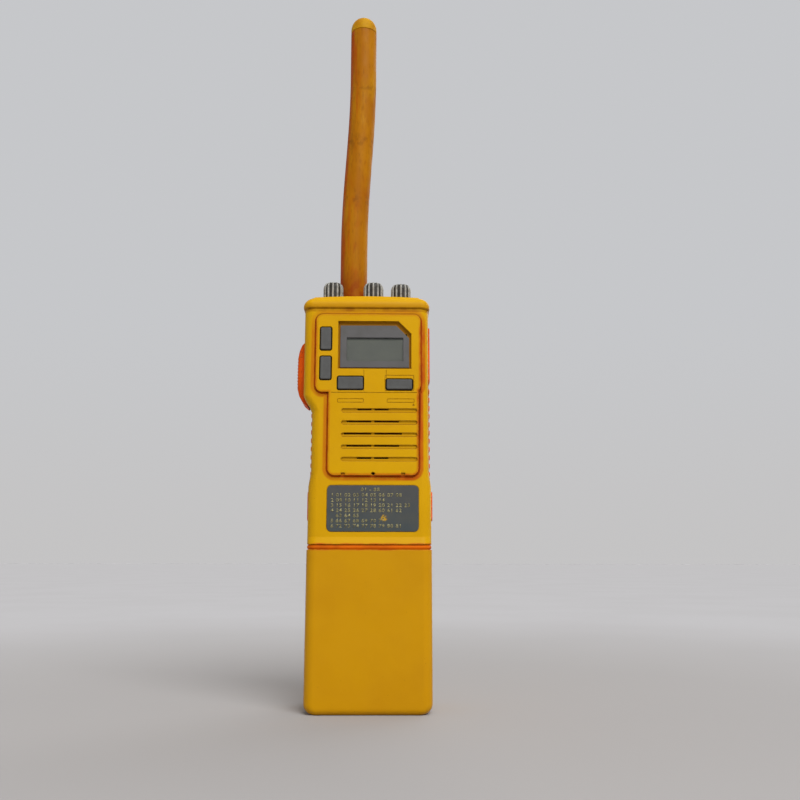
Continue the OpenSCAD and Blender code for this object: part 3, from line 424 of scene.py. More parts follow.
def end_tree(tree, inputs, shape):
    """Makes the instances real, sets the finish and hands the geometry out."""
    real = node(tree, "GeometryNodeRealizeInstances", {"Geometry": shape})
    values = {"Geometry": real.outputs["Geometry"], "Material": inputs["Finish"]}
    finish = node(tree, "GeometryNodeSetMaterial", values)
    node(tree, "NodeGroupOutput", {"Geometry": finish.outputs["Geometry"]})


def swept(tree, inputs, radius):
    """A round bar of this radius along the path."""
    profile = node(tree, "GeometryNodeCurvePrimitiveCircle",
                   {"Radius": inputs[radius], "Resolution": inputs["Sides"]})
    values = {"Curve": inputs["Geometry"], "Profile Curve": profile.outputs["Curve"], "Fill Caps": True}
    return node(tree, "GeometryNodeCurveToMesh", values).outputs["Mesh"]


def grown(obj, tree, finish, smooth=40, **sizes):
    """Runs a tree on an object, with its inputs set by identifier, and keeps the plain mesh."""
    step = obj.modifiers.new(tree.name, "NODES")
    step.node_group = tree
    sizes["Finish"] = finish
    for item in tree.interface.items_tree:
        if item.in_out == "INPUT" and item.name in sizes:
            step[item.identifier] = sizes[item.name]
    whole, name = whole_mesh(obj), obj.name
    bpy.data.objects.remove(obj)
    return settle(placed(name, whole), smooth)


def path_object(name, points, closed=True):
    """A poly curve through points in metres, for a tree to sweep along."""
    curve = bpy.data.curves.new(name, "CURVE")
    curve.dimensions = "3D"
    line = curve.splines.new("POLY")
    line.points.add(len(points) - 1)
    for spot, p in zip(line.points, points):
        spot.co = (*p, 1.0)
    line.use_cyclic_u = closed
    return placed(name, curve)


bead_tree, bead_in = tree_with("bead", Radius=0.001, Sides=16)
end_tree(bead_tree, bead_in, swept(bead_tree, bead_in, "Radius"))

gasket_rubber = plain_finish("gasket_orange", (0.74, 0.145, 0.001), 0.6, fine=1.5, depth=0.03,
                             other=(0.56, 0.105, 0.001), per_mm=0.12, gloss=0.08)
seal = Edges("battery_seal")
seal_r = (seal.z1 - seal.z0) / 2
SQUEEZE = 1.12
path = box_ring(seal, seal_r, seal_r, PACK_EDGE_R - (seal.x0 - pack.x0) - seal_r, seal.z0 + seal_r)
seam_gasket = grown(path_object("seam_gasket", path), bead_tree, gasket_rubber,
                    Radius=seal_r * SQUEEZE * MM, Sides=20)
fitted(seam_gasket, "battery_pack", "orange_rubber", "battery_seal")

# ---------------------------------------------------------------------------
# 4. Front and rear shells
# Two yellow mouldings meet along the sides behind the grips, with a rubber strip between them.
# The left side swells out under the talk button, and its round edge follows that curve.
# ---------------------------------------------------------------------------


def cad_copy(name, source, *materials, bevel=0.0, flat=0.5):
    """A merged copy of a CAD node. With a bevel its flat faces are made whole and its edges round."""
    bm = bmesh.new()
    bm.from_mesh(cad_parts[source].data)
    bmesh.ops.remove_doubles(bm, verts=bm.verts, dist=1e-6)
    if bevel:
        bmesh.ops.dissolve_limit(bm, angle_limit=math.radians(flat), verts=bm.verts, edges=bm.edges)
        sharp = [e for e in bm.edges if len(e.link_faces) == 2 and e.calc_face_angle(0) > math.radians(35)]
        bmesh.ops.bevel(bm, geom=sharp, offset=bevel * MM, segments=3, profile=0.5, affect="EDGES",
                        clamp_overlap=True)
    return solid(name, bm, *materials)


def outline_distance(tree, where, x0, z0, x1, z1, r):
    """How far a place lies outside a rounded rectangle seen from the front, in metres."""
    shifted = vector_maths(tree, "SUBTRACT", where, ((x0 + x1) / 2 * MM, 0, (z0 + z1) / 2 * MM))
    half = (((x1 - x0) / 2 - r) * MM, 0, ((z1 - z0) / 2 - r) * MM)
    outside = vector_maths(tree, "SUBTRACT", vector_maths(tree, "ABSOLUTE", shifted), half)
    level = vector_maths(tree, "MULTIPLY", vector_maths(tree, "MAXIMUM", outside), (1, 0, 1))
    return maths(tree, "SUBTRACT", vector_maths(tree, "LENGTH", level), r * MM)


plate = Edges("front_plate")
shell = Edges("front_shell")
PLATE_STEP_Z, PLATE_LOW_X0, PLATE_LOW_X1 = plate.z0 + 42.2, plate.x0 + 6.75, plate.x1 - 1.15
PLATE_R, PLATE_LAP = 3.5, 8
FACE_Y, BACK_Y, BACK_OUT = -18.8, 20.0, 0.6
SHELL_SEAM, CAP_SEAM, CAP_SHADE = (79.0, 80.3), (198.7, 200.2), (0.36, 0.12, 0.002)
GRIME_IN_X, GRIME_X, GRIME_FADE = 26.5, 30, 4


def near_plate(start, end):
    """A mask by how many millimetres a place lies outside the front plate's stepped outline."""
    def make(tree, where):
        upper = outline_distance(tree, where, plate.x0, PLATE_STEP_Z, plate.x1, plate.z1, PLATE_R)
        lower = outline_distance(tree, where, PLATE_LOW_X0, plate.z0, PLATE_LOW_X1,
                                 PLATE_STEP_Z + PLATE_LAP, PLATE_R)
        return spread(tree, maths(tree, "MINIMUM", upper, lower), start * MM, end * MM)
    return make


def side_grime(side, z0, z1):
    """A patchy mask along one upright edge, where the hand and salt have left grime."""
    span = all_of(ramp("Z", z0 - GRIME_FADE, z0), ramp("Z", z1 + GRIME_FADE, z1))
    return all_of(ramp("X", side * GRIME_IN_X, side * GRIME_X), span, patches(0.45, 6, 0.5, 0.74))


# Salt water has stood on the right and at the bottom of the plate, and the orange of its
# gasket has bled into the yellow round it.
SALT_X, SALT_DOWN = (-10, 22), 12
HALO, HALO_DEPTH = (3.1, 1.9), (FACE_Y + 3.2, FACE_Y + 1.4)
RIGHT_GRIME, LEFT_GRIME, BACK_GRIME = (168, 192), (110, 146), (110, 150)
salted = all_of(ramp("X", *SALT_X, 0.7, 1.0), ramp("Z", plate.z1, plate.z1 - SALT_DOWN, 0.45, 1.0))
halo = all_of(near_plate(*HALO), ramp("Y", *HALO_DEPTH), patches(0.12, 4, 0.25, 0.6, 0.6, 1.0), salted)
shell_face = shell_plastic("shell_yellow_face", 0.4, [
    (halo, STAIN_ORANGE, 1.0), (seam_band(*SHELL_SEAM), STAIN_ORANGE, 1.0),
    # The band just under the cap is a painted shadow of the cap's lip.
    (seam_band(*CAP_SEAM), CAP_SHADE, 0.9),
    (side_grime(1, *RIGHT_GRIME), GRIME_AND_SHADE, 0.55), (side_grime(-1, *LEFT_GRIME), GRIME_AND_SHADE, 0.3)])
shell_back = shell_plastic("shell_yellow_back", 0.4, [
    (seam_band(*SHELL_SEAM), STAIN_ORANGE, 0.9),
    (side_grime(1, *BACK_GRIME), GRIME_AND_SHADE, 0.35), (side_grime(-1, *BACK_GRIME), GRIME_AND_SHADE, 0.35)])

FOOT_HALF, WAIST_HALF, BULGE = shell.x1, 29.6, 4.6
FLARE_Z0, FLARE_Z1, SWELL_Z0, SWELL_RISE, SWELL_STEPS = shell.z0 + 28, shell.z0 + 36, 145.0, 11.0, 18
FOOT_BEVEL, SHELL_EDGE_R, LOOSE, OVERRUN = 3.6, 5.0, 0.06, 1


def share(z, z0, z1):
    """How far a height has come from z0 to z1, from 0 to 1."""
    return min(max((z - z0) / (z1 - z0), 0), 1)


def side_at(z):
    """Half the width of the housing at this height, without the swell."""
    return FOOT_HALF + (WAIST_HALF - FOOT_HALF) * share(z, FLARE_Z0, FLARE_Z1)


def swell_at(z):
    """How far the left side swells out at this height."""
    return BULGE * (1 - math.cos(math.pi * share(z, SWELL_Z0, SWELL_Z0 + SWELL_RISE))) / 2


def housing_skin():
    """The housing's outside as one closed loft, a trace larger than the shells."""
    levels = [shell.z0 - OVERRUN, shell.z0, shell.z0 + FOOT_BEVEL, FLARE_Z0, FLARE_Z1]
    levels += [SWELL_Z0 + SWELL_RISE * i / SWELL_STEPS for i in range(SWELL_STEPS + 1)]
    levels.append(shell.z1 + OVERRUN)
    rings = []
    for z in levels:
        bevel = max(1 - max(z - shell.z0, 0) / FOOT_BEVEL, 0) * (FACE_Y - shell.y0)
        rings.append(rounded_ring(-side_at(z) - swell_at(z) - LOOSE, side_at(z) + LOOSE,
                                  FACE_Y - bevel - LOOSE, BACK_Y + BACK_OUT + LOOSE, SHELL_EDGE_R, z, 12))
    return solid("skin", loft(rings))


for name, source, plastic in (("front_housing", "front_shell", shell_face),
                              ("rear_housing", "rear_shell", shell_back)):
    half = cad_copy(name, source, plastic)
    carve(half, housing_skin(), "INTERSECT")
    fitted(settle(half, 14), "radio", "shell_yellow", source)

dress(gasket_rubber, "housing_seals")
dress(dark_plastic, "radio_base")
dress(brass, "contact_pins")

# ---------------------------------------------------------------------------
# 5. Housing screws and belt-clip inserts
# Four stainless cross-head screws hold the shells, sunk in round wells on the back, and two
# brass inserts take a belt clip. Geometry Nodes set one screw at each place.
# ---------------------------------------------------------------------------

SCREW_PLACES = ((-28.8, 195.5), (24.3, 195.5), (-18.0, 87.0), (18.0, 87.0))
HEAD_R, HEAD_T, SHANK_R, SLOT_W, SLOT_DEEP, SLOT_SPAN = 2.4, 1.9, 1.2, 0.62, 0.9, 1.25
SCREW_SEED = 7
screws = Edges("housing_screws")


def vector_of(tree, **sizes):
    """A vector from up to three sizes, X, Y and Z."""
    return node(tree, "ShaderNodeCombineXYZ", sizes).outputs[0]


def hanging_rod(tree, radius, depth, sides=32):
    """A round rod that hangs down from the origin."""
    made = node(tree, "GeometryNodeMeshCylinder", {"Vertices": sides, "Radius": radius, "Depth": depth})
    down = vector_of(tree, Z=maths(tree, "MULTIPLY", depth, -0.5))
    values = {"Geometry": made.outputs["Mesh"], "Translation": down}
    return node(tree, "GeometryNodeTransform", values).outputs["Geometry"]


tree, sizes = tree_with("screws", Head=0.0024, Thick=0.0019, Shank=0.0012, Length=0.02, Slot=0.0006,
                        Deep=0.0009, Seed=SCREW_SEED)
screw_tree = tree
head = hanging_rod(tree, sizes["Head"], sizes["Thick"])
shank = hanging_rod(tree, sizes["Shank"], sizes["Length"], 16)
bar_long = maths(tree, "MULTIPLY", sizes["Head"], SLOT_SPAN)
bar_deep = maths(tree, "MULTIPLY", sizes["Deep"], 2.0)
cross = []
for wide, high in ((bar_long, sizes["Slot"]), (sizes["Slot"], bar_long)):
    bar = node(tree, "GeometryNodeMeshCube", {"Size": vector_of(tree, X=wide, Y=high, Z=bar_deep)})
    cross.append(bar.outputs["Mesh"])
joined = node(tree, "GeometryNodeMeshBoolean", {"Mesh 2": [head, shank]}, operation="UNION")
screw = node(tree, "GeometryNodeMeshBoolean", {"Mesh 1": joined.outputs["Mesh"], "Mesh 2": cross},
             operation="DIFFERENCE")
angle = node(tree, "FunctionNodeRandomValue", {3: math.pi, "Seed": sizes["Seed"]}, data_type="FLOAT")
spin = node(tree, "FunctionNodeRotateEuler", {
    "Rotation": vector_of(tree, X=-math.pi / 2), "Axis": (0, 1, 0), "Angle": angle.outputs[1]},
    rotation_type="AXIS_ANGLE")
screws_set = node(tree, "GeometryNodeInstanceOnPoints", {
    "Points": sizes["Geometry"], "Instance": screw.outputs["Mesh"], "Rotation": spin.outputs["Rotation"]})
end_tree(tree, sizes, screws_set.outputs["Instances"])

steel = plain_finish("screw_steel", (0.50, 0.49, 0.46), 0.32, 1.0, fine=2.0, other=(0.26, 0.2, 0.14),
                     per_mm=0.8)
heads = bpy.data.meshes.new("shell_screws")
heads.from_pydata([(x * MM, screws.y1 * MM, z * MM) for x, z in SCREW_PLACES], [], [])
shell_screws = grown(placed("shell_screws", heads), screw_tree, steel, Head=HEAD_R * MM, Thick=HEAD_T * MM,
                     Shank=SHANK_R * MM, Length=(screws.y1 - screws.y0) * MM, Slot=SLOT_W * MM,
                     Deep=SLOT_DEEP * MM, Seed=SCREW_SEED)
fitted(shell_screws, "radio", "steel", "housing_screws")
dress(brass, "clip_inserts")

# ---------------------------------------------------------------------------
# 6. Top cap
# One thick yellow moulding with a soft round rim stands a little out over the shells. The
# three control bushes and the antenna socket come up through it.
# ---------------------------------------------------------------------------

cap = Edges("top_cap")
CAP_END_R, CAP_FACE_R, CAP_EDGE_LOSS, CAP_PLATE, CAP_LOW_R, CAP_CROWN = 6.6, 5.4, 3.2, 3.2, 0.9, 1.1
CROWN_CUTS, NEAR_TOP = (-0.6, -0.3, 0.0, 0.3, 0.6), 1.01
KNOB_XS, KNOB_Y, BUSH_R, BUSH_GAP = (-20.4, 1.0, 15.6), -5.0, 3.1, 0.1
ANTENNA_X, ANTENNA_Y, SOCKET_R, HOLE_HALF = -10.1, 7.0, 4.5, 6
POCKET_WALL, POCKET_R = 2.2, 2.8
RIM_SHADE, SHADE_Z, RIM_SEAM, RIM_GRIME = (0.42, 0.15, 0.002), (204.6, 201.0), (199.4, 200.4), (200, 207)

# The cap is painted darker towards its lower edge as shade under its rim, darkest in its lowest millimetre;
# the patches at both ends are grime.
cap_plastic = shell_plastic("cap_yellow", 0.0, [
    (ramp("Z", *SHADE_Z), RIM_SHADE, 0.48), (seam_band(*RIM_SEAM), GRIME_AND_SHADE, 0.6),
    (side_grime(-1, *RIM_GRIME), GRIME_AND_SHADE, 0.6), (side_grime(1, *RIM_GRIME), GRIME_AND_SHADE, 0.6)])
foot_rings, rim_rings = [], []
for turn in quarter(4):
    inset = CAP_LOW_R * (1 - math.sin(turn))
    foot_rings.append(box_ring(cap, inset, inset, SHELL_EDGE_R - inset,
                               cap.z0 + CAP_LOW_R * (1 - math.cos(turn))))
for turn in quarter(8):
    inset_y = CAP_FACE_R * (1 - math.cos(turn))
    rim_rings.append(box_ring(cap, CAP_END_R * (1 - math.cos(turn)), inset_y,
                              SHELL_EDGE_R - min(inset_y, CAP_EDGE_LOSS),
                              cap.z1 - CAP_FACE_R * (1 - math.sin(turn))))
cap_middle, cap_half = (cap.x0 + cap.x1) / 2, (cap.x1 - cap.x0) / 2


def off_middle(x):
    """How far a place in metres lies from the cap's middle, as a share of half its width."""
    return (x / MM - cap_middle) / cap_half


for ring in rim_rings:
    for point in ring:
        rise = (point.z / MM - cap.z0) / (cap.z1 - cap.z0)
        point.z -= CAP_CROWN * off_middle(point.x) ** 2 * rise * MM
bm = loft(foot_rings + rim_rings)
for part in CROWN_CUTS:
    bmesh.ops.bisect_plane(bm, geom=bm.verts[:] + bm.edges[:] + bm.faces[:],
                           plane_co=((cap_middle + part * cap_half) * MM, 0, 0), plane_no=(1, 0, 0))
for vertex in bm.verts:
    if vertex.co.z > (cap.z1 - CAP_CROWN * NEAR_TOP) * MM:
        vertex.co.z = (cap.z1 - CAP_CROWN * off_middle(vertex.co.x) ** 2) * MM
top_cap = solid("top_cap_moulding", bm, cap_plastic)
pocket = loft([rounded_ring(-WAIST_HALF - BULGE + POCKET_WALL, WAIST_HALF - POCKET_WALL, FACE_Y + POCKET_WALL,
                            BACK_Y - POCKET_WALL, POCKET_R, z) for z in (cap.z0 - 1, cap.z1 - CAP_PLATE)])
carve(top_cap, solid("pocket", pocket))
for x in KNOB_XS:
    carve(top_cap, rod_tool((x, KNOB_Y, cap.z1), BUSH_R + BUSH_GAP, HOLE_HALF, True))
carve(top_cap, rod_tool((ANTENNA_X, ANTENNA_Y, cap.z1), SOCKET_R, HOLE_HALF, True))
fitted(settle(top_cap), "radio", "shell_yellow", "top_cap")

# ---------------------------------------------------------------------------
# 7. Front plate and its gasket
# A yellow bezel carries the display, the keys and the speaker grille. It sits in a groove of
# the shell on an orange gasket that shows all round as a thin line.
# ---------------------------------------------------------------------------

CHANNEL_Z, CHANNEL_PITCH, CHANNEL_LOW, CHANNEL_DEEP, CHANNEL_EDGE = 134.8, 6.15, -1.75, 0.8, 0.26
DISPLAY_RECESS = (-16.6, 168.0, 20.8, 193.0, 0.5)
WALL_SHADE, CHANNEL_SHADE = (0.30, 0.11, 0.002), (0.24, 0.085, 0.002)
BEZEL_GRIME, LEDGE_SEAM, RIM_STAIN = (160, 192), (113.0, 114.6), (-1.5, -0.15)


def channel_edge(tree, where):
    """A mask for painted shade along the lower edge of each speaker channel, fainter over its floor."""
    start = CHANNEL_Z + CHANNEL_LOW - 4 * CHANNEL_PITCH
    over = maths(tree, "SUBTRACT", along(tree, where), start * MM)
    row = maths(tree, "FLOORED_MODULO", over, CHANNEL_PITCH * MM)
    return spread(tree, row, CHANNEL_EDGE * 2 * MM, CHANNEL_EDGE * MM, 0.12, 1.0)


def recess_wall(tree, where):
    """A mask on the walls of the recess for the display, where shade is painted."""
    return spread(tree, outline_distance(tree, where, *DISPLAY_RECESS), 0.4 * MM, 0.15 * MM)


channel_y = plate.y0 + CHANNEL_DEEP
plate_plastic = shell_plastic("plate_yellow", 0.35, [
    (side_grime(1, *BEZEL_GRIME), GRIME_AND_SHADE, 0.35), (seam_band(*LEDGE_SEAM), STAIN_ORANGE, 0.5),
    (all_of(near_plate(*RIM_STAIN), patches(0.2, 4, 0.3, 0.65, 0.5, 1.0), salted), STAIN_ORANGE, 1.0),
    # Painted shade on the floors of the speaker channels, darkest along their lower edges.
    (all_of(ramp("Y", channel_y - 0.2, channel_y - 0.05), ramp("Y", channel_y + 0.3, channel_y + 0.1),
            channel_edge), CHANNEL_SHADE, 0.8),
    # Painted shade on the walls of the channels, the relief lines and the display recess.
    (all_of(ramp("Y", plate.y0 + 0.02, plate.y0 + 0.16), ramp("Y", channel_y - 0.02, channel_y - 0.12)),
     WALL_SHADE, 0.8),
    (all_of(recess_wall, ramp("Y", plate.y0 + 0.1, plate.y0 + 0.7)), WALL_SHADE, 0.85)])
bezel = cad_copy("front_bezel", "front_plate", plate_plastic)


def box_tool(x0, x1, y0, y1, z0, z1, r=0.0):
    """A block to carve with, its corners rounded in the front view."""
    bm = bmesh.new()
    flat = rounded_ring(x0, x1, z0, z1, r, 0, 4 if r else 1)
    near, far = [[bm.verts.new((p.x, y * MM, p.y)) for p in flat] for y in (y0, y1)]
    for i in range(len(flat)):
        k = (i + 1) % len(flat)
        bm.faces.new((near[i], near[k], far[k], far[i]))
    bm.faces.new(list(reversed(near)))
    bm.faces.new(far)
    bmesh.ops.recalc_face_normals(bm, faces=bm.faces)
    return solid("tool", bm)


# The relief lines: a step across the plate, three thin frames, two upright lines and an arrow.
LINE_DEEP, LINE_W, STEP_W = 0.2, 0.24, 0.25
STEP_X0, STEP_X1, STEP_Z = -19.8, 23.6, 155.55
FRAMES = ((-16.6, 150.5, -3.3, 152.5), (8.4, 150.5, 22.3, 152.5), (7.3, 156.5, 22.1, 164.7))
FRAME_R, UPRIGHT_XS, UPRIGHT_Z0, UPRIGHT_Z1 = 0.5, (-3.45, 7.9), 156.3, 167.4
ARROW_X, ARROW_Z, ARROW_R = 21.8, 149.3, 0.75


def line_tool(x0, x1, z0, z1, r=0.0):
    """A block that cuts a shallow line into the bezel's face."""
    return box_tool(x0, x1, plate.y0 - 1, plate.y0 + LINE_DEEP, z0, z1, r)


carve(bezel, line_tool(STEP_X0, STEP_X1, STEP_Z, STEP_Z + STEP_W))
for x0, z0, x1, z1 in FRAMES:
    line = line_tool(x0, x1, z0, z1, FRAME_R)
    carve(line, box_tool(x0 + LINE_W, x1 - LINE_W, plate.y0 - 2, plate.y0 + 1, z0 + LINE_W, z1 - LINE_W,
                         FRAME_R - LINE_W))
    carve(bezel, line)
for x in UPRIGHT_XS:
    carve(bezel, line_tool(x, x + LINE_W, UPRIGHT_Z0, UPRIGHT_Z1))
carve(bezel, rod_tool((ARROW_X, plate.y0, ARROW_Z), ARROW_R, LINE_DEEP, sides=3))
fitted(settle(bezel, 20), "radio", "shell_yellow", "front_plate")

gasket = Edges("plate_gasket")
GASKET_R = (plate.x0 - gasket.x0) / 2
GASKET_Y, INNER_R, STEP_R, STEP_END = FACE_Y + 0.1, 1.2, 1.0, -60


def arc(cx, cz, r, start, end, steps=6):
    """Points of an arc in the gasket's plane, in metres."""
    turns = [math.radians(start + (end - start) * i / steps) for i in range(steps + 1)]
    return [Vector((cx + r * math.cos(a), GASKET_Y, cz + r * math.sin(a))) * MM for a in turns]


CORD_ORANGE = (0.46, 0.072, 0.001)
cord_rubber = painted("gasket_cord", CORD_ORANGE, 0.6, [
    (patches(0.1, 4, 0.35, 0.65), (0.34, 0.045, 0.001)),
    (ramp("Z", gasket.z1 - 4, gasket.z1 - 1.5), (0.42, 0.18, 0.003), 0.75)],
    reliefs=[(grain(1.5, 2), 0.03)], gloss=0.08)
r = PLATE_R + GASKET_R
left, right = plate.x0 - GASKET_R, plate.x1 + GASKET_R
low_left, low_right = PLATE_LOW_X0 - GASKET_R, PLATE_LOW_X1 + GASKET_R
bottom, step, top = plate.z0 - GASKET_R, PLATE_STEP_Z - GASKET_R, plate.z1 + GASKET_R
path = arc(low_left + r, bottom + r, r, 270, 180)
path += arc(low_left - INNER_R, step - INNER_R, INNER_R, 0, 90, 3)
path += arc(left + r, step + r, r, 270, 180)
path += arc(left + r, top - r, r, 180, 90)
path += arc(right - r, top - r, r, 90, 0)
path += arc(right - STEP_R, step + STEP_R, STEP_R, 0, STEP_END, 3)
path += arc(low_right - r, bottom + r, r, 0, -90)
plate_cord = grown(path_object("plate_cord", path), bead_tree, cord_rubber, Radius=GASKET_R * MM, Sides=12)
fitted(plate_cord, "radio", "orange_rubber", "plate_gasket")

# ---------------------------------------------------------------------------
# 8. Display
# A dark grey mask frames a clear window over a plain liquid-crystal glass. The glass sits in a light guide on
# the front board, with a painted shadow under the mask's upper edge.
# ---------------------------------------------------------------------------

dress(plain_finish("mask_grey", (0.118, 0.113, 0.112), 0.42, fine=6.0, depth=0.008,
                   other=(0.10, 0.096, 0.09)), "display_mask")

WINDOW_ALPHA = 0.16
window_clear = painted("window_clear", (0.10, 0.105, 0.10), 0.08, dull=patches(0.4, 5, 0.45, 0.7, 0.05, 0.22),
                       reliefs=[(patches(2.0, 2, 0.66, 0.7, stretch=(1, 1, 0.1)), 0.004)])
window_clear.node_tree.nodes["Principled BSDF"].inputs["Alpha"].default_value = WINDOW_ALPHA
lens = cad_copy("display_lens", "display_window", window_clear)
fitted(settle(lens), "radio", "window_clear", "display_window")

LCD_GREY, CELL_W, CELL_H, CELL_LINE, SHADOW_DOWN = (0.19, 0.20, 0.17), 0.8, 1.2, 0.04, (1.6, 0.3)
window = Edges("display_window")


def display_cells(tree, where):
    """The faint outlines of the display's cells, seen from the front."""
    turned = node(tree, "ShaderNodeMapping", {"Vector": where, "Rotation": (math.pi / 2, 0, 0)})
    values = {"Vector": turned.outputs[0], "Scale": 1 / MM, "Mortar Size": CELL_LINE, "Brick Width": CELL_W,
              "Row Height": CELL_H}
    return node(tree, "ShaderNodeTexBrick", values).outputs["Fac"]


lcd_glass = painted("lcd_glass", LCD_GREY, 0.18, [
    (patches(0.12, 3, 0.35, 0.7), (0.17, 0.18, 0.158)),
    (ramp("Z", *[window.z1 - down for down in SHADOW_DOWN]), (0.04, 0.042, 0.038), 0.9)],
    reliefs=[(display_cells, 0.004), (grain(3.0, 2), 0.003)])
dress(lcd_glass, "display_module")

# ---------------------------------------------------------------------------
# 9. Keys and their membrane
# Four grey silicone keys with soft round edges stand a little proud of the plate. They are
# moulded caps on one rubber membrane, which lies on the front board.
# ---------------------------------------------------------------------------

KEY_FLANGE, KEY_FLANGE_T, KEY_R, KEY_EDGE, KEY_HOLLOW_IN, KEY_HOLLOW = 1.05, 0.8, 0.8, 0.75, 1.6, 0.12
KEY_STEPS, KEY_CORNER_LOSS, KEY_HOLLOW_R, FLANK_SHADE = 5, 0.6, 0.5, (0.62, 0.3)

# The flanks are painted dark as shade where the keys stand out of the plate, and the edges are pale.
key_finish = painted("key_rubber", (0.095, 0.096, 0.092), 0.6, [
    (patches(0.35, 4, 0.35, 0.7), (0.085, 0.084, 0.08)),
    (ramp("Y", *[plate.y0 - out for out in FLANK_SHADE]), (0.02, 0.018, 0.015), 0.9),
    (worn_edge(0.35, 1.2), (0.2, 0.2, 0.19), 0.6)],
    patches(0.8, 3, 0.3, 0.7, 0.5, 0.68), [(grain(6.0, 2), 0.012)])


def key_cap(name, source):
    """A key with a round front edge, a slightly hollow face and its flange behind the plate."""
    key = Edges(source)
    back = key.y1 - KEY_FLANGE_T
    steps = [(0, key.y1, KEY_R + KEY_FLANGE), (0, back, KEY_R + KEY_FLANGE), (KEY_FLANGE, back, KEY_R),
             (KEY_FLANGE, key.y0 + KEY_EDGE, KEY_R)]
    for turn in quarter(KEY_STEPS)[1:]:
        inset = KEY_EDGE * (1 - math.cos(turn))
        steps.append((KEY_FLANGE + inset, key.y0 + KEY_EDGE * (1 - math.sin(turn)),
                      KEY_R - inset * KEY_CORNER_LOSS))
    steps.append((KEY_FLANGE + KEY_HOLLOW_IN, key.y0 + KEY_HOLLOW, KEY_HOLLOW_R))
    rings = []
    for inset, y, r in steps:
        ring = rounded_ring(key.x0 + inset, key.x1 - inset, key.z0 + inset, key.z1 - inset, r, y, KEY_STEPS)
        rings.append([Vector((p.x, p.z, p.y)) for p in ring])
    bm = loft(rings)
    bmesh.ops.recalc_face_normals(bm, faces=bm.faces)
    return settle(solid(name, bm, key_finish), 50)


for source, name, body in (("key_scan", "upper_side_key", "scan_button"),
                           ("key_light", "lower_side_key", "light_button"),
                           ("key_left", "left_key", "left_button"),
                           ("key_right", "right_key", "right_button")):
    fitted(key_cap(name, source), body, "key_rubber", source)
dress(key_finish, "key_membrane")
dress(board_green, "front_board")

# ---------------------------------------------------------------------------
# 10. Speaker and microphone
# A paper cone in a pressed basket sits behind the grille under a black acoustic cloth, with a
# ferrite magnet. A small microphone in a black felt sock listens through the port under it.
# ---------------------------------------------------------------------------


THREADS_PER_MM, THREAD_WAVER = 0.9, 0.4


def weave(tree, where):
    """Threads that cross in the front view."""
    values = {"Vector": where, "Scale": THREADS_PER_MM / MM, "Distortion": THREAD_WAVER}
    threads = [node(tree, "ShaderNodeTexWave", values, bands_direction=axis) for axis in "XZ"]
    return product(tree, *[thread.outputs["Fac"] for thread in threads])


cloth_black = painted("cloth_black", (0.006, 0.006, 0.006), 0.85, [(weave, (0.012, 0.012, 0.012))],
                      reliefs=[(weave, 0.06)], under=(0.003, 0.003, 0.003))
dress(cloth_black, "speaker_cloth", "speaker_cone", "microphone")
dress(nickel, "speaker_basket", "shield_can")
dress(plain_finish("magnet_ferrite", (0.045, 0.043, 0.043), 0.6, fine=2.0, depth=0.02), "speaker_magnet")
dress(plain_finish("die_cast", (0.45, 0.45, 0.44), 0.4, 1.0, fine=1.5, depth=0.03), "chassis")
dress(board_green, "main_board", "switch_board")
dress(dark_plastic, "power_module", "jack_block")
dress(steel, "board_screws", "rotary_controls", "dial_sleeve")
dress(brass, "antenna_socket", "antenna_stud")

# ---------------------------------------------------------------------------
# 11. Instruction plate
# A slate-coloured plastic label is stuck in a shallow bed under the grille. Its pale print is
# a generic one: six numbered rows of plain channel numbers.
# ---------------------------------------------------------------------------

label = Edges("instruction_plate")
SLATE, SLATE_WORN = (0.072, 0.073, 0.072), (0.058, 0.070, 0.072)
BLOT_X, BLOT_Z, BLOT_R = 7.3, 92.9, 1.9


def blot(tree, where):
    """A mask for a round blot on the print."""
    off = vector_maths(tree, "SUBTRACT", where, Vector((BLOT_X, 0, BLOT_Z)) * MM)
    reach = vector_maths(tree, "LENGTH", vector_maths(tree, "MULTIPLY", off, (1, 0, 1)))
    return spread(tree, reach, BLOT_R * MM, BLOT_R * 0.6 * MM)


slate_film = painted("plate_slate", SLATE, 0.42, [
    (ramp("Z", label.z0, label.z1), SLATE), (patches(0.18, 5, 0.4, 0.75), (0.11, 0.10, 0.07), 0.25),
    (all_of(blot, patches(0.7, 4, 0.42, 0.52)), (0.50, 0.28, 0.01)),
    (worn_edge(0.5, 0.6), (0.32, 0.2, 0.05), 0.8)],
    patches(0.5, 4, 0.3, 0.7, 0.34, 0.55), [(grain(2.5, 3), 0.012)], 0.3, under=SLATE_WORN)
slate = cad_copy("instruction_label", "instruction_plate", slate_film, bevel=0.15)
fitted(settle(slate, 30), "radio", "plate_slate", "instruction_plate")

INK_T, LETTER_H, TITLE_DOWN, TITLE_LEFT, FIRST_DOWN, ROW_PITCH = 0.03, 1.75, 2.9, 6.0, 5.6, 2.53
NUMBER_IN, PRINT_IN = 1.9, 4.4
FONT_FULL, LETTER_GAP, LETTER_WIDE, LETTER_BOLD = 1.38, 1.12, 1.2, 0.03
PRINT_ROWS = (
    ("1", "01 02 03 04 05 06 07 08"),
    ("2", "09 10 11 12 13 14"),
    ("3", "15 16 17 18 19 20 21 22 23"),
    ("4", "24 25 26 27 28 60 61 62"),
    ("", "63 64 65"),
    ("5", "66 67 68 69 70 71"),
    ("6", "72 73 74 77 78 79 80 81"),
)


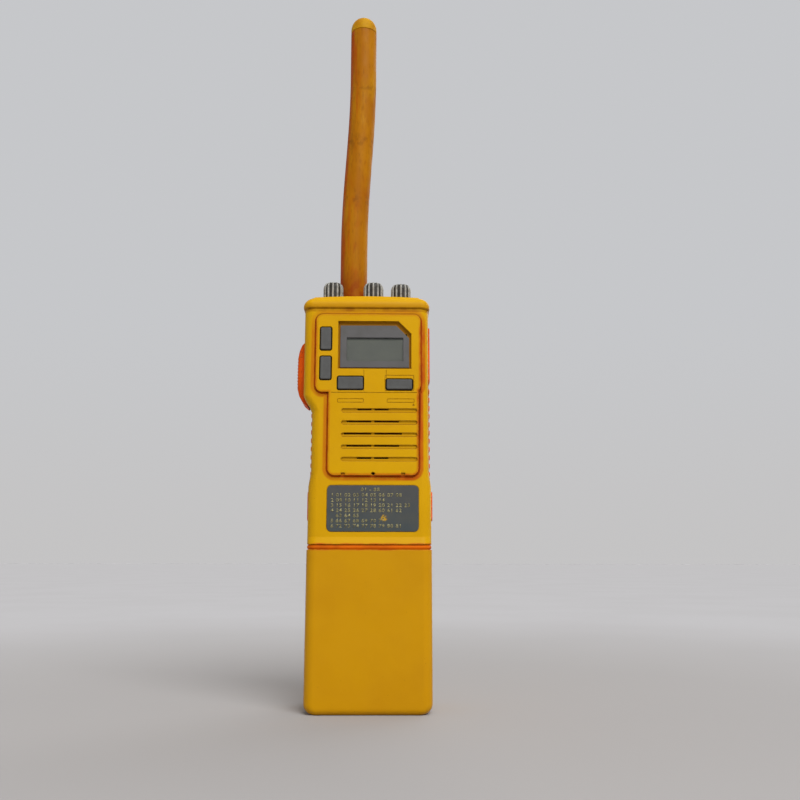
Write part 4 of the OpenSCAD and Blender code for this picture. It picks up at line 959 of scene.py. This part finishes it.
def print_on(ink, words, x, z):
    """Adds plain numbers from Blender's own font to the ink, flat on the label's face."""
    letters = bpy.data.curves.new("numbers", "FONT")
    letters.body = words
    letters.size = LETTER_H * MM * FONT_FULL
    letters.space_character = LETTER_GAP
    letters.offset = LETTER_BOLD * LETTER_H * MM
    letters.resolution_u = 2
    text = placed("numbers", letters)
    mesh = whole_mesh(text)
    bpy.data.objects.remove(text)
    place = Matrix.Translation(Vector((x, label.y0 - INK_T / 2, z)) * MM)
    mesh.transform(place @ Matrix.Rotation(math.pi / 2, 4, "X") @ Matrix.Diagonal((LETTER_WIDE, 1, 1, 1)))
    ink.from_mesh(mesh)
    bpy.data.meshes.remove(mesh)


print_ink = plain_finish("print_ink", (0.56, 0.50, 0.24), 0.5, other=(0.34, 0.30, 0.13), per_mm=0.5)
ink = bmesh.new()
print_on(ink, "01 - 88", (label.x0 + label.x1) / 2 - TITLE_LEFT, label.z1 - TITLE_DOWN)
for i, (number, words) in enumerate(PRINT_ROWS):
    row_z = label.z1 - FIRST_DOWN - i * ROW_PITCH
    if number:
        print_on(ink, number, label.x0 + NUMBER_IN, row_z)
    print_on(ink, words, label.x0 + PRINT_IN, row_z)
label_ink = solid("label_numbers", ink, print_ink)
thick = label_ink.modifiers.new("ink", "SOLIDIFY")
thick.thickness, thick.offset = INK_T * MM, 0.0
fitted(settle(label_ink), "radio", "plate_slate")

# ---------------------------------------------------------------------------
# 12. Side grips
# Soft orange rubber pads with cross ribs are moulded into the sides of the front shell. One
# rib is modelled and Geometry Nodes repeat it up the pad.
# ---------------------------------------------------------------------------

# Salt-dulled orange rubber: paler on its ridges, grimy in its hollows, finely pitted.
rubber_orange = painted("orange_rubber", (0.82, 0.105, 0.002), 0.6, [
    (patches(0.08, 4, 0.35, 0.7), (0.64, 0.078, 0.001)),
    (worn_edge(0.6, 0.4), (0.80, 0.19, 0.01), 0.35),
    (patches(0.6, 5, 0.62, 0.74), (0.12, 0.03, 0.008), 0.5)],
    patches(0.3, 4, 0.3, 0.7, 0.45, 0.68), [(grain(3.0, 2), 0.02)], 0.4, gloss=0.1)
# The pads between the ribs are painted near black, as the shade in the gaps between the ribs.
pad_shade_rubber = plain_finish("orange_rubber_pad_shade", (0.30, 0.045, 0.003), 0.7, fine=3.0, depth=0.02,
                            other=(0.10, 0.025, 0.006), per_mm=0.3)

tree, sizes = tree_with("row_of_copies", Count=5, Step=(0.0, 0.0, 0.001), Turn=0.0)
row_tree = tree
line = node(tree, "GeometryNodeMeshLine", {"Count": sizes["Count"], "Offset": sizes["Step"]}, mode="OFFSET")
turn_by = maths(tree, "MULTIPLY", node(tree, "GeometryNodeInputIndex").outputs[0], sizes["Turn"])
copies = node(tree, "GeometryNodeInstanceOnPoints", {
    "Points": line.outputs["Mesh"], "Instance": sizes["Geometry"], "Rotation": vector_of(tree, Z=turn_by)})
end_tree(tree, sizes, copies.outputs["Instances"])


def side_slab(x_in, x_out, y0, y1, z0, z1, r, edge=0.35):
    """A flat pad seen from the side, its outer edge rounded."""
    rings = []
    sign = 1 if x_out > x_in else -1
    for x, inset in ((x_in, 0.0), (x_out - sign * edge, 0.0), (x_out - sign * edge * 0.3, edge * 0.3),
                     (x_out, edge)):
        flat = rounded_ring(y0 + inset, y1 - inset, z0 + inset, z1 - inset, r - inset, 0, 5)
        rings.append([Vector((x * MM, p.x, p.y)) for p in flat])
    bm = loft(rings)
    bmesh.ops.recalc_face_normals(bm, faces=bm.faces)
    return bm


RIB_PITCH, RIB_H, RIB_PROUD, RIB_SINK, RIB_UP, RIB_DOWN = 4.3, 2.7, 0.5, 0.05, 1.2, 3.2
GRIP_Y1, PAD_R, RIB_CORNER_R, RIB_EDGE, RIB_IN_Y = 8.0, 2.5, 1.0, 0.5, 1
HINGE_SPAN, HINGE_GAP, HINGE_TOP = (20, 40, -30, 30), 0.2, 230
for source, side, top in (("side_grip_left", -1, 149.0), ("side_grip_right", 1, 162.6)):
    grip = Edges(source)
    inner, outer = (grip.x0, grip.x1) if side > 0 else (grip.x1, grip.x0)
    face = outer - side * RIB_PROUD
    pad = solid(source + "_pad", side_slab(inner, face, grip.y0, GRIP_Y1, grip.z0, top, PAD_R), pad_shade_rubber)
    if side > 0:
        strip = cad_copy("hinge_strip", source, rubber_orange)
        carve(strip, box_tool(*HINGE_SPAN, top + HINGE_GAP, HINGE_TOP), "INTERSECT")
        fitted(settle(strip), "radio", "orange_rubber")
    rib_z = grip.z0 + RIB_UP
    rib_count = int((top - RIB_DOWN - grip.z0 - RIB_UP) / RIB_PITCH) + 1
    rib = side_slab(face - side * RIB_SINK, outer, grip.y0 + RIB_IN_Y, GRIP_Y1 - RIB_IN_Y, rib_z,
                    rib_z + RIB_H, RIB_CORNER_R, RIB_EDGE)
    first = solid(source + "_ribs", rib)
    ribs = grown(first, row_tree, rubber_orange, Count=rib_count, Step=(0, 0, RIB_PITCH * MM), Turn=0.0)
    fitted(settle(pad), "radio", "orange_rubber", source)
    fitted(ribs, "radio", "orange_rubber")

# ---------------------------------------------------------------------------
# 13. Talk button, side key, jack cover and latches
# All are orange rubber over stiff cores. The talk button is the big one, steep on top with a
# long fluted tail; the cover hinges on its rear edge and the latches free the pack.
# ---------------------------------------------------------------------------

button = Edges("talk_button")
talk = cad_copy("talk_pad", "talk_button", rubber_orange, bevel=0.5, flat=1.0)
TALK_FLUTES, FLUTE_R, FLUTE_DEEP, FLUTES_UP, FLUTES_SHORT, FLUTE_HALF = 9, 0.8, 0.5, 11, 21.5, 30
for i in range(TALK_FLUTES):
    flute_z = button.z0 + FLUTES_UP + (button.z1 - button.z0 - FLUTES_SHORT) * i / (TALK_FLUTES - 1)
    carve(talk, rod_tool((button.x0 + FLUTE_DEEP - FLUTE_R, 0, flute_z), FLUTE_R, FLUTE_HALF))
fitted(settle(talk, 50), "talk", "orange_rubber", "talk_button")
for source, name, body, round_edge in (("side_key", "small_side_key", "side_button", 0.3),
                                       ("jack_cover", "jack_flap", "cover", 0.4),
                                       ("latch_left", "left_release_bar", "left_latch", 0.35),
                                       ("latch_right", "right_release_bar", "right_latch", 0.35)):
    made = cad_copy(name, source, rubber_orange, bevel=round_edge)
    fitted(settle(made, 40), body, "orange_rubber", source)

# ---------------------------------------------------------------------------
# 14. Knobs
# Three moulded grey knobs with twelve rounded ribs stand on nickel nuts. The ribs are painted pale as a
# highlight, and the core between them is near black with patches of dirt.
# ---------------------------------------------------------------------------


def knob_finish(name, colour, other, dirt):
    """Grey knob plastic with dirt in patches."""
    return painted(name, colour, 0.45, [
        (patches(0.5, 4, 0.35, 0.7), other), (patches(0.7, 5, 0.5, 0.68), (0.05, 0.035, 0.02), dirt)],
        patches(1.0, 3, 0.3, 0.7, 0.36, 0.6), [(grain(5.0, 2), 0.012)], 0.2)


def revolved(profile, sides=48):
    """A closed solid turned round the Z axis from (radius, height) pairs in mm, bottom first."""
    turns = [2 * math.pi * i / sides for i in range(sides)]
    return loft([[Vector((radius * math.cos(a), radius * math.sin(a), z)) * MM for a in turns]
                 for radius, z in profile])


# The ribs are painted pale as a highlight on their ridges.
knob_ridge_highlight = knob_finish("knob_grey_ridge_highlight", (0.40, 0.39, 0.35), (0.27, 0.26, 0.23), 0.45)
knob_body = knob_finish("knob_grey_body", (0.040, 0.037, 0.030), (0.026, 0.023, 0.018), 0.5)
RIBS, KNOB_R, RIB_R, FLUTE_IN, KNOB_WELL_R, KNOB_WELL, SHAFT_R = 12, 5.3, 0.55, 0.62, 4.3, 2.4, 1.5
KNOB_LIFT, DIAL_DOWN, KNOB_DOME, DOME_IN, RIB_IN, DISH = 0.4, 1.2, 2.7, 1.8, 1.7, 0.35
DOME_DOWN, DISH_IN, DISH_R = 0.1, 2.4, 0.4
RIB_SIDES, RIB_FLAT, RIB_TAPER = 10, 0.95, 0.3
DOME_TURNS, RIB_TURNS = (18, 36, 54, 72, 90), (18, 36, 54, 72, 86)

for source, name, body in (("volume_knob", "volume_dial", "volume"),
                           ("squelch_knob", "squelch_dial", "squelch"),
                           ("dial_knob", "channel_dial", "dial")):
    knob = Edges(source)
    skirt = cap.z1 + (DIAL_DOWN if source == "dial_knob" else KNOB_LIFT)
    dome_z = knob.z1 - KNOB_DOME
    r = KNOB_R - FLUTE_IN
    profile = [(SHAFT_R, knob.z0), (SHAFT_R, skirt + KNOB_WELL), (KNOB_WELL_R, skirt + KNOB_WELL),
               (KNOB_WELL_R, skirt), (r, skirt), (r, dome_z)]
    for turn in map(math.radians, DOME_TURNS):
        profile.append((r - DOME_IN * (1 - math.cos(turn)),
                        dome_z + (KNOB_DOME - DOME_DOWN) * math.sin(turn)))
    profile += [(r - DISH_IN, knob.z1 - DISH), (DISH_R, knob.z1 - DISH)]
    core = solid(name + "_core", revolved(profile), knob_body)
    levels = [(skirt + 0.15, 0.55, 0.25), (skirt + 0.4, 1.0, 0.0), (dome_z, 1.0, 0.0)]
    for degrees in RIB_TURNS:
        turn = math.radians(degrees)
        levels.append((dome_z + KNOB_DOME * math.sin(turn), 1 - RIB_TAPER * degrees / RIB_TURNS[-1],
                       RIB_IN * (1 - math.cos(turn))))
    rib_rings = []
    for z, swell, inset in levels:
        turns = [2 * math.pi * i / RIB_SIDES for i in range(RIB_SIDES)]
        rib_rings.append([Vector((KNOB_R - RIB_R - inset + RIB_R * swell * math.cos(a),
                                  RIB_R * swell * RIB_FLAT * math.sin(a), z)) * MM for a in turns])
    ribs = grown(solid(name + "_ribs", loft(rib_rings)), row_tree, knob_ridge_highlight, Count=RIBS, Step=(0, 0, 0),
                 Turn=2 * math.pi / RIBS, smooth=60)
    whole = bmesh.new()
    for index, piece in enumerate((core, ribs)):
        count = len(whole.faces)
        whole.from_mesh(piece.data)
        whole.faces.ensure_lookup_table()
        for face in whole.faces[count:]:
            face.material_index = index
        bpy.data.objects.remove(piece)
    middle = Vector(((knob.x0 + knob.x1) / 2, (knob.y0 + knob.y1) / 2, 0)) * MM
    bmesh.ops.translate(whole, verts=whole.verts, vec=middle)
    fitted(settle(solid(name, whole, knob_body, knob_ridge_highlight), 45), body, "knob_grey", source)
dress(nickel, "control_nuts")

# ---------------------------------------------------------------------------
# 15. Antenna
# A flexible whip: a phosphor-bronze core in a rubber sleeve that has taken a lean, once
# yellow and now amber from sun and handling, with a brighter cap on its tip.
# ---------------------------------------------------------------------------

sleeve = Edges("antenna_sleeve")
ANTENNA_R, CORE_R, BEND_Z0, BEND_Z1, WHIP_STEPS, END_STEP = 7.35, 3.0, 241.4, 343.4, 60, 0.02
LEAN = sleeve.x1 - sleeve.x0 - 2 * ANTENNA_R
AMBER, AMBER_DARK = (0.47, 0.18, 0.001), (0.36, 0.115, 0.001)
AMBER_RED, AMBER_PALE = (0.42, 0.062, 0.001), (0.56, 0.27, 0.001)
THUMB_MARKS = ((303.0, 7.0), (336.0, 3.0), (268.0, 5.0))
RED_SIDE, RED_RIM, RED_FOOT, MOTTLED = (1.0, -6.5), (-4.8, -7.0), 26, (330, 250)


def lean_at(z):
    """How far the antenna has moved over to the right at this height."""
    return LEAN * (1 - math.cos(math.pi * share(z, BEND_Z0, BEND_Z1))) / 2


def beside(start, end):
    """A mask across the antenna, between two distances in mm from its leaning middle."""
    def make(tree, where):
        over = maths(tree, "SUBTRACT", along(tree, where, "X"),
                     ramp("Z", BEND_Z0, BEND_Z1, 0.0, LEAN * MM)(tree, where))
        return spread(tree, over, (ANTENNA_X + start) * MM, (ANTENNA_X + end) * MM)
    return make


def thumb_mark(centre, reach):
    """A mask for a patchy brown band round the antenna."""
    band = all_of(ramp("Z", centre - reach, centre), ramp("Z", centre + reach, centre))
    return all_of(band, patches(0.3, 5, 0.45, 0.62))


# Long streaks, a red left side and foot, mottling on the lower half and brown thumb marks.
amber_rubber = painted("antenna_amber", AMBER, 0.55, [
    (patches(0.06, 5, 0.35, 0.68, stretch=(1, 1, 0.35)), AMBER_DARK),
    (patches(0.05, 4, 0.55, 0.75, stretch=(1, 1, 0.5)), AMBER_PALE, 0.7),
    (all_of(patches(0.25, 5, 0.45, 0.65, stretch=(1, 1, 0.08)), beside(*RED_SIDE)), AMBER_RED),
    (beside(*RED_RIM), AMBER_RED, 0.8),
    (patches(0.9, 4, 0.5, 0.75, stretch=(1, 1, 0.25)), (0.24, 0.075, 0.001), 0.45),
    # The red at the foot is partly a stain and partly painted shade where the sleeve meets the cap.
    (all_of(ramp("Z", sleeve.z0 + RED_FOOT, sleeve.z0), patches(0.2, 5, 0.3, 0.65, 0.35, 0.95)),
     (0.27, 0.03, 0.002)),
    (all_of(patches(0.16, 5, 0.5, 0.7, stretch=(1, 1, 0.5)), ramp("Z", *MOTTLED)),
     (0.40, 0.075, 0.001), 0.45),
    *[(thumb_mark(*mark), (0.17, 0.055, 0.003), 0.45) for mark in THUMB_MARKS]],
    patches(0.15, 5, 0.3, 0.7, 0.4, 0.62),
    [(grain(2.0, 3, (1, 1, 0.3)), 0.02), (grain(0.2, 3), 0.08)], gloss=0.08)

tube_tree, tube_in = tree_with("tube", Outer=0.007, Inner=0.003, Sides=48)
outer, inner = [swept(tube_tree, tube_in, size) for size in ("Outer", "Inner")]
bored = node(tube_tree, "GeometryNodeMeshBoolean", {"Mesh 1": outer, "Mesh 2": inner}, operation="DIFFERENCE")
end_tree(tube_tree, tube_in, bored.outputs["Mesh"])

TIP_DOWN, TIP_CYLINDER, TIP_GROOVE, TIP_FIT, TIP_ROOT = 1.2, 2.6, 0.35, 0.02, 3
GROOVE_TOP, TIP_LIP, BORE_FIT, TIP_TURNS = 0.4, 0.55, 0.2, (0, 12, 24, 36, 48, 60, 72, 82, 89)
tip_top = Edges("antenna_tip").z1
dome_z = tip_top - TIP_DOWN - ANTENNA_R
tip_foot = dome_z - TIP_CYLINDER
steps = [sleeve.z0 + (tip_foot - sleeve.z0) * i / WHIP_STEPS for i in range(WHIP_STEPS + 1)]
heights = [steps[0], steps[0] + END_STEP, *steps[1:-1], tip_foot - END_STEP, tip_foot]
line = [Vector((ANTENNA_X + lean_at(z), ANTENNA_Y, z)) * MM for z in heights]
whip = grown(path_object("antenna_whip", line, False), tube_tree, amber_rubber, Outer=ANTENNA_R * MM,
             Inner=CORE_R * MM, Sides=48)
fitted(whip, "antenna", "antenna_amber", "antenna_sleeve")

tip_rubber = plain_finish("tip_yellow", (0.56, 0.28, 0.002), 0.55, other=(0.44, 0.18, 0.002), per_mm=0.15,
                          gloss=0.1)
bore_r, groove_r, dome_r = CORE_R - BORE_FIT, ANTENNA_R - TIP_GROOVE, ANTENNA_R - TIP_FIT
profile = [(bore_r, tip_foot - TIP_ROOT), (bore_r, tip_foot + TIP_FIT), (groove_r, tip_foot + TIP_FIT),
           (groove_r, tip_foot + GROOVE_TOP), (dome_r, tip_foot + TIP_LIP)]
for turn in map(math.radians, TIP_TURNS):
    profile.append((dome_r * math.cos(turn), dome_z + ANTENNA_R * math.sin(turn)))
dome = revolved(profile)
bmesh.ops.translate(dome, verts=dome.verts, vec=Vector((ANTENNA_X + LEAN, ANTENNA_Y, 0)) * MM)
fitted(settle(solid("antenna_end_cap", dome, tip_rubber), 40), "antenna", "tip_yellow", "antenna_tip")
dress(brass, "antenna_core")
dress(dark_plastic, "antenna_washer")

# ---------------------------------------------------------------------------
# 16. Floor, light and camera
# The radio stands on a pale floor in soft, even light that comes mostly from above.
# The camera looks from the photograph's side, a little up along the radio.
# ---------------------------------------------------------------------------

FLOOR_NEAR_SHADE, FLOOR_FAR, FLOOR_SMUDGE = (0.395, 0.378, 0.37), (0.505, 0.495, 0.50), (0.36, 0.345, 0.34)
NEAR_M, FAR_M, FLOOR_HALF = 0.1, 0.75, 12.0


def far_away(tree, where):
    """A mask that grows with the distance from the radio."""
    return spread(tree, vector_maths(tree, "LENGTH", where), NEAR_M, FAR_M)


# The floor is painted darker near the radio, as the shade round it, under faint smudges.
floor_paint = painted("studio_floor", FLOOR_FAR, 0.9, [
    (far_away, FLOOR_FAR), (patches(0.006, 4, 0.35, 0.7), FLOOR_SMUDGE, 0.1)], gloss=0.0, under=FLOOR_NEAR_SHADE)
bm = bmesh.new()
bmesh.ops.create_grid(bm, x_segments=2, y_segments=2, size=FLOOR_HALF)
solid("studio_floor", bm, floor_paint)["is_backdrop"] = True

WORLD_LIGHT, WORLD_STRENGTH = (0.97, 0.98, 1.0, 1.0), 0.43
HORIZON, ZENITH, SKY_RISE = (0.555, 0.548, 0.55), (0.565, 0.572, 0.59), (-0.02, 0.3)
world = bpy.data.worlds.new("studio")
world.use_nodes = True
bpy.context.scene.world = world
tree = world.node_tree
tree.nodes.clear()
up = along(tree, node(tree, "ShaderNodeTexCoord").outputs["Generated"])
sky = blended(tree, spread(tree, up, *SKY_RISE), HORIZON, ZENITH)
seen = node(tree, "ShaderNodeBackground", {"Color": sky, "Strength": 1.0})
light = node(tree, "ShaderNodeBackground", {"Color": WORLD_LIGHT, "Strength": WORLD_STRENGTH})
ray = node(tree, "ShaderNodeLightPath").outputs["Is Camera Ray"]
pick = node(tree, "ShaderNodeMixShader", {0: ray, 1: light.outputs[0], 2: seen.outputs[0]})
node(tree, "ShaderNodeOutputWorld", {"Surface": pick.outputs[0]})

MIDDLE = Vector((0.0, 0.0, 0.15))
CEILING_SPREAD, BEHIND_SPREAD, GLOW_SIDE = 38, 60, 0.3


def aimed(name, kind, place, strength):
    """A lamp at a place in metres, turned to face the middle of the radio."""
    data = bpy.data.lights.new(name, kind)
    data.energy = strength
    made = placed(name, data)
    made.location = place
    made.rotation_euler = (MIDDLE - Vector(place)).to_track_quat("-Z", "Y").to_euler()
    return data


aimed("ceiling", "SUN", (0.35, -0.75, 1.05), 2.2).angle = math.radians(CEILING_SPREAD)
aimed("behind", "SUN", (0.4, 0.9, 0.7), 1.1).angle = math.radians(BEHIND_SPREAD)
glow = aimed("glow", "AREA", (0.1, -0.6, 0.75), 0.9)
glow.shape, glow.size = "SQUARE", GLOW_SIDE

CAMERA_PLACE = Vector((9.5, -444.1, 73.1)) * MM
CAMERA_UP, CAMERA_TURN, CAMERA_ROLL = 10.52, -0.763, -0.077
FOCAL_PIXELS, FRAME_PIXELS, SENSOR = 854.8, 800, 36.0
camera_data = bpy.data.cameras.new("camera")
camera_data.sensor_width = SENSOR
camera_data.lens = FOCAL_PIXELS / FRAME_PIXELS * SENSOR
camera_data.clip_start, camera_data.clip_end = 0.01, 20.0
camera = placed("camera", camera_data)
camera.location = CAMERA_PLACE
camera.rotation_euler = [math.radians(turn) for turn in (90 + CAMERA_UP, CAMERA_ROLL, CAMERA_TURN)]
bpy.context.scene.camera = camera
bpy.context.scene.view_settings.view_transform = "Standard"

low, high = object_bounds()
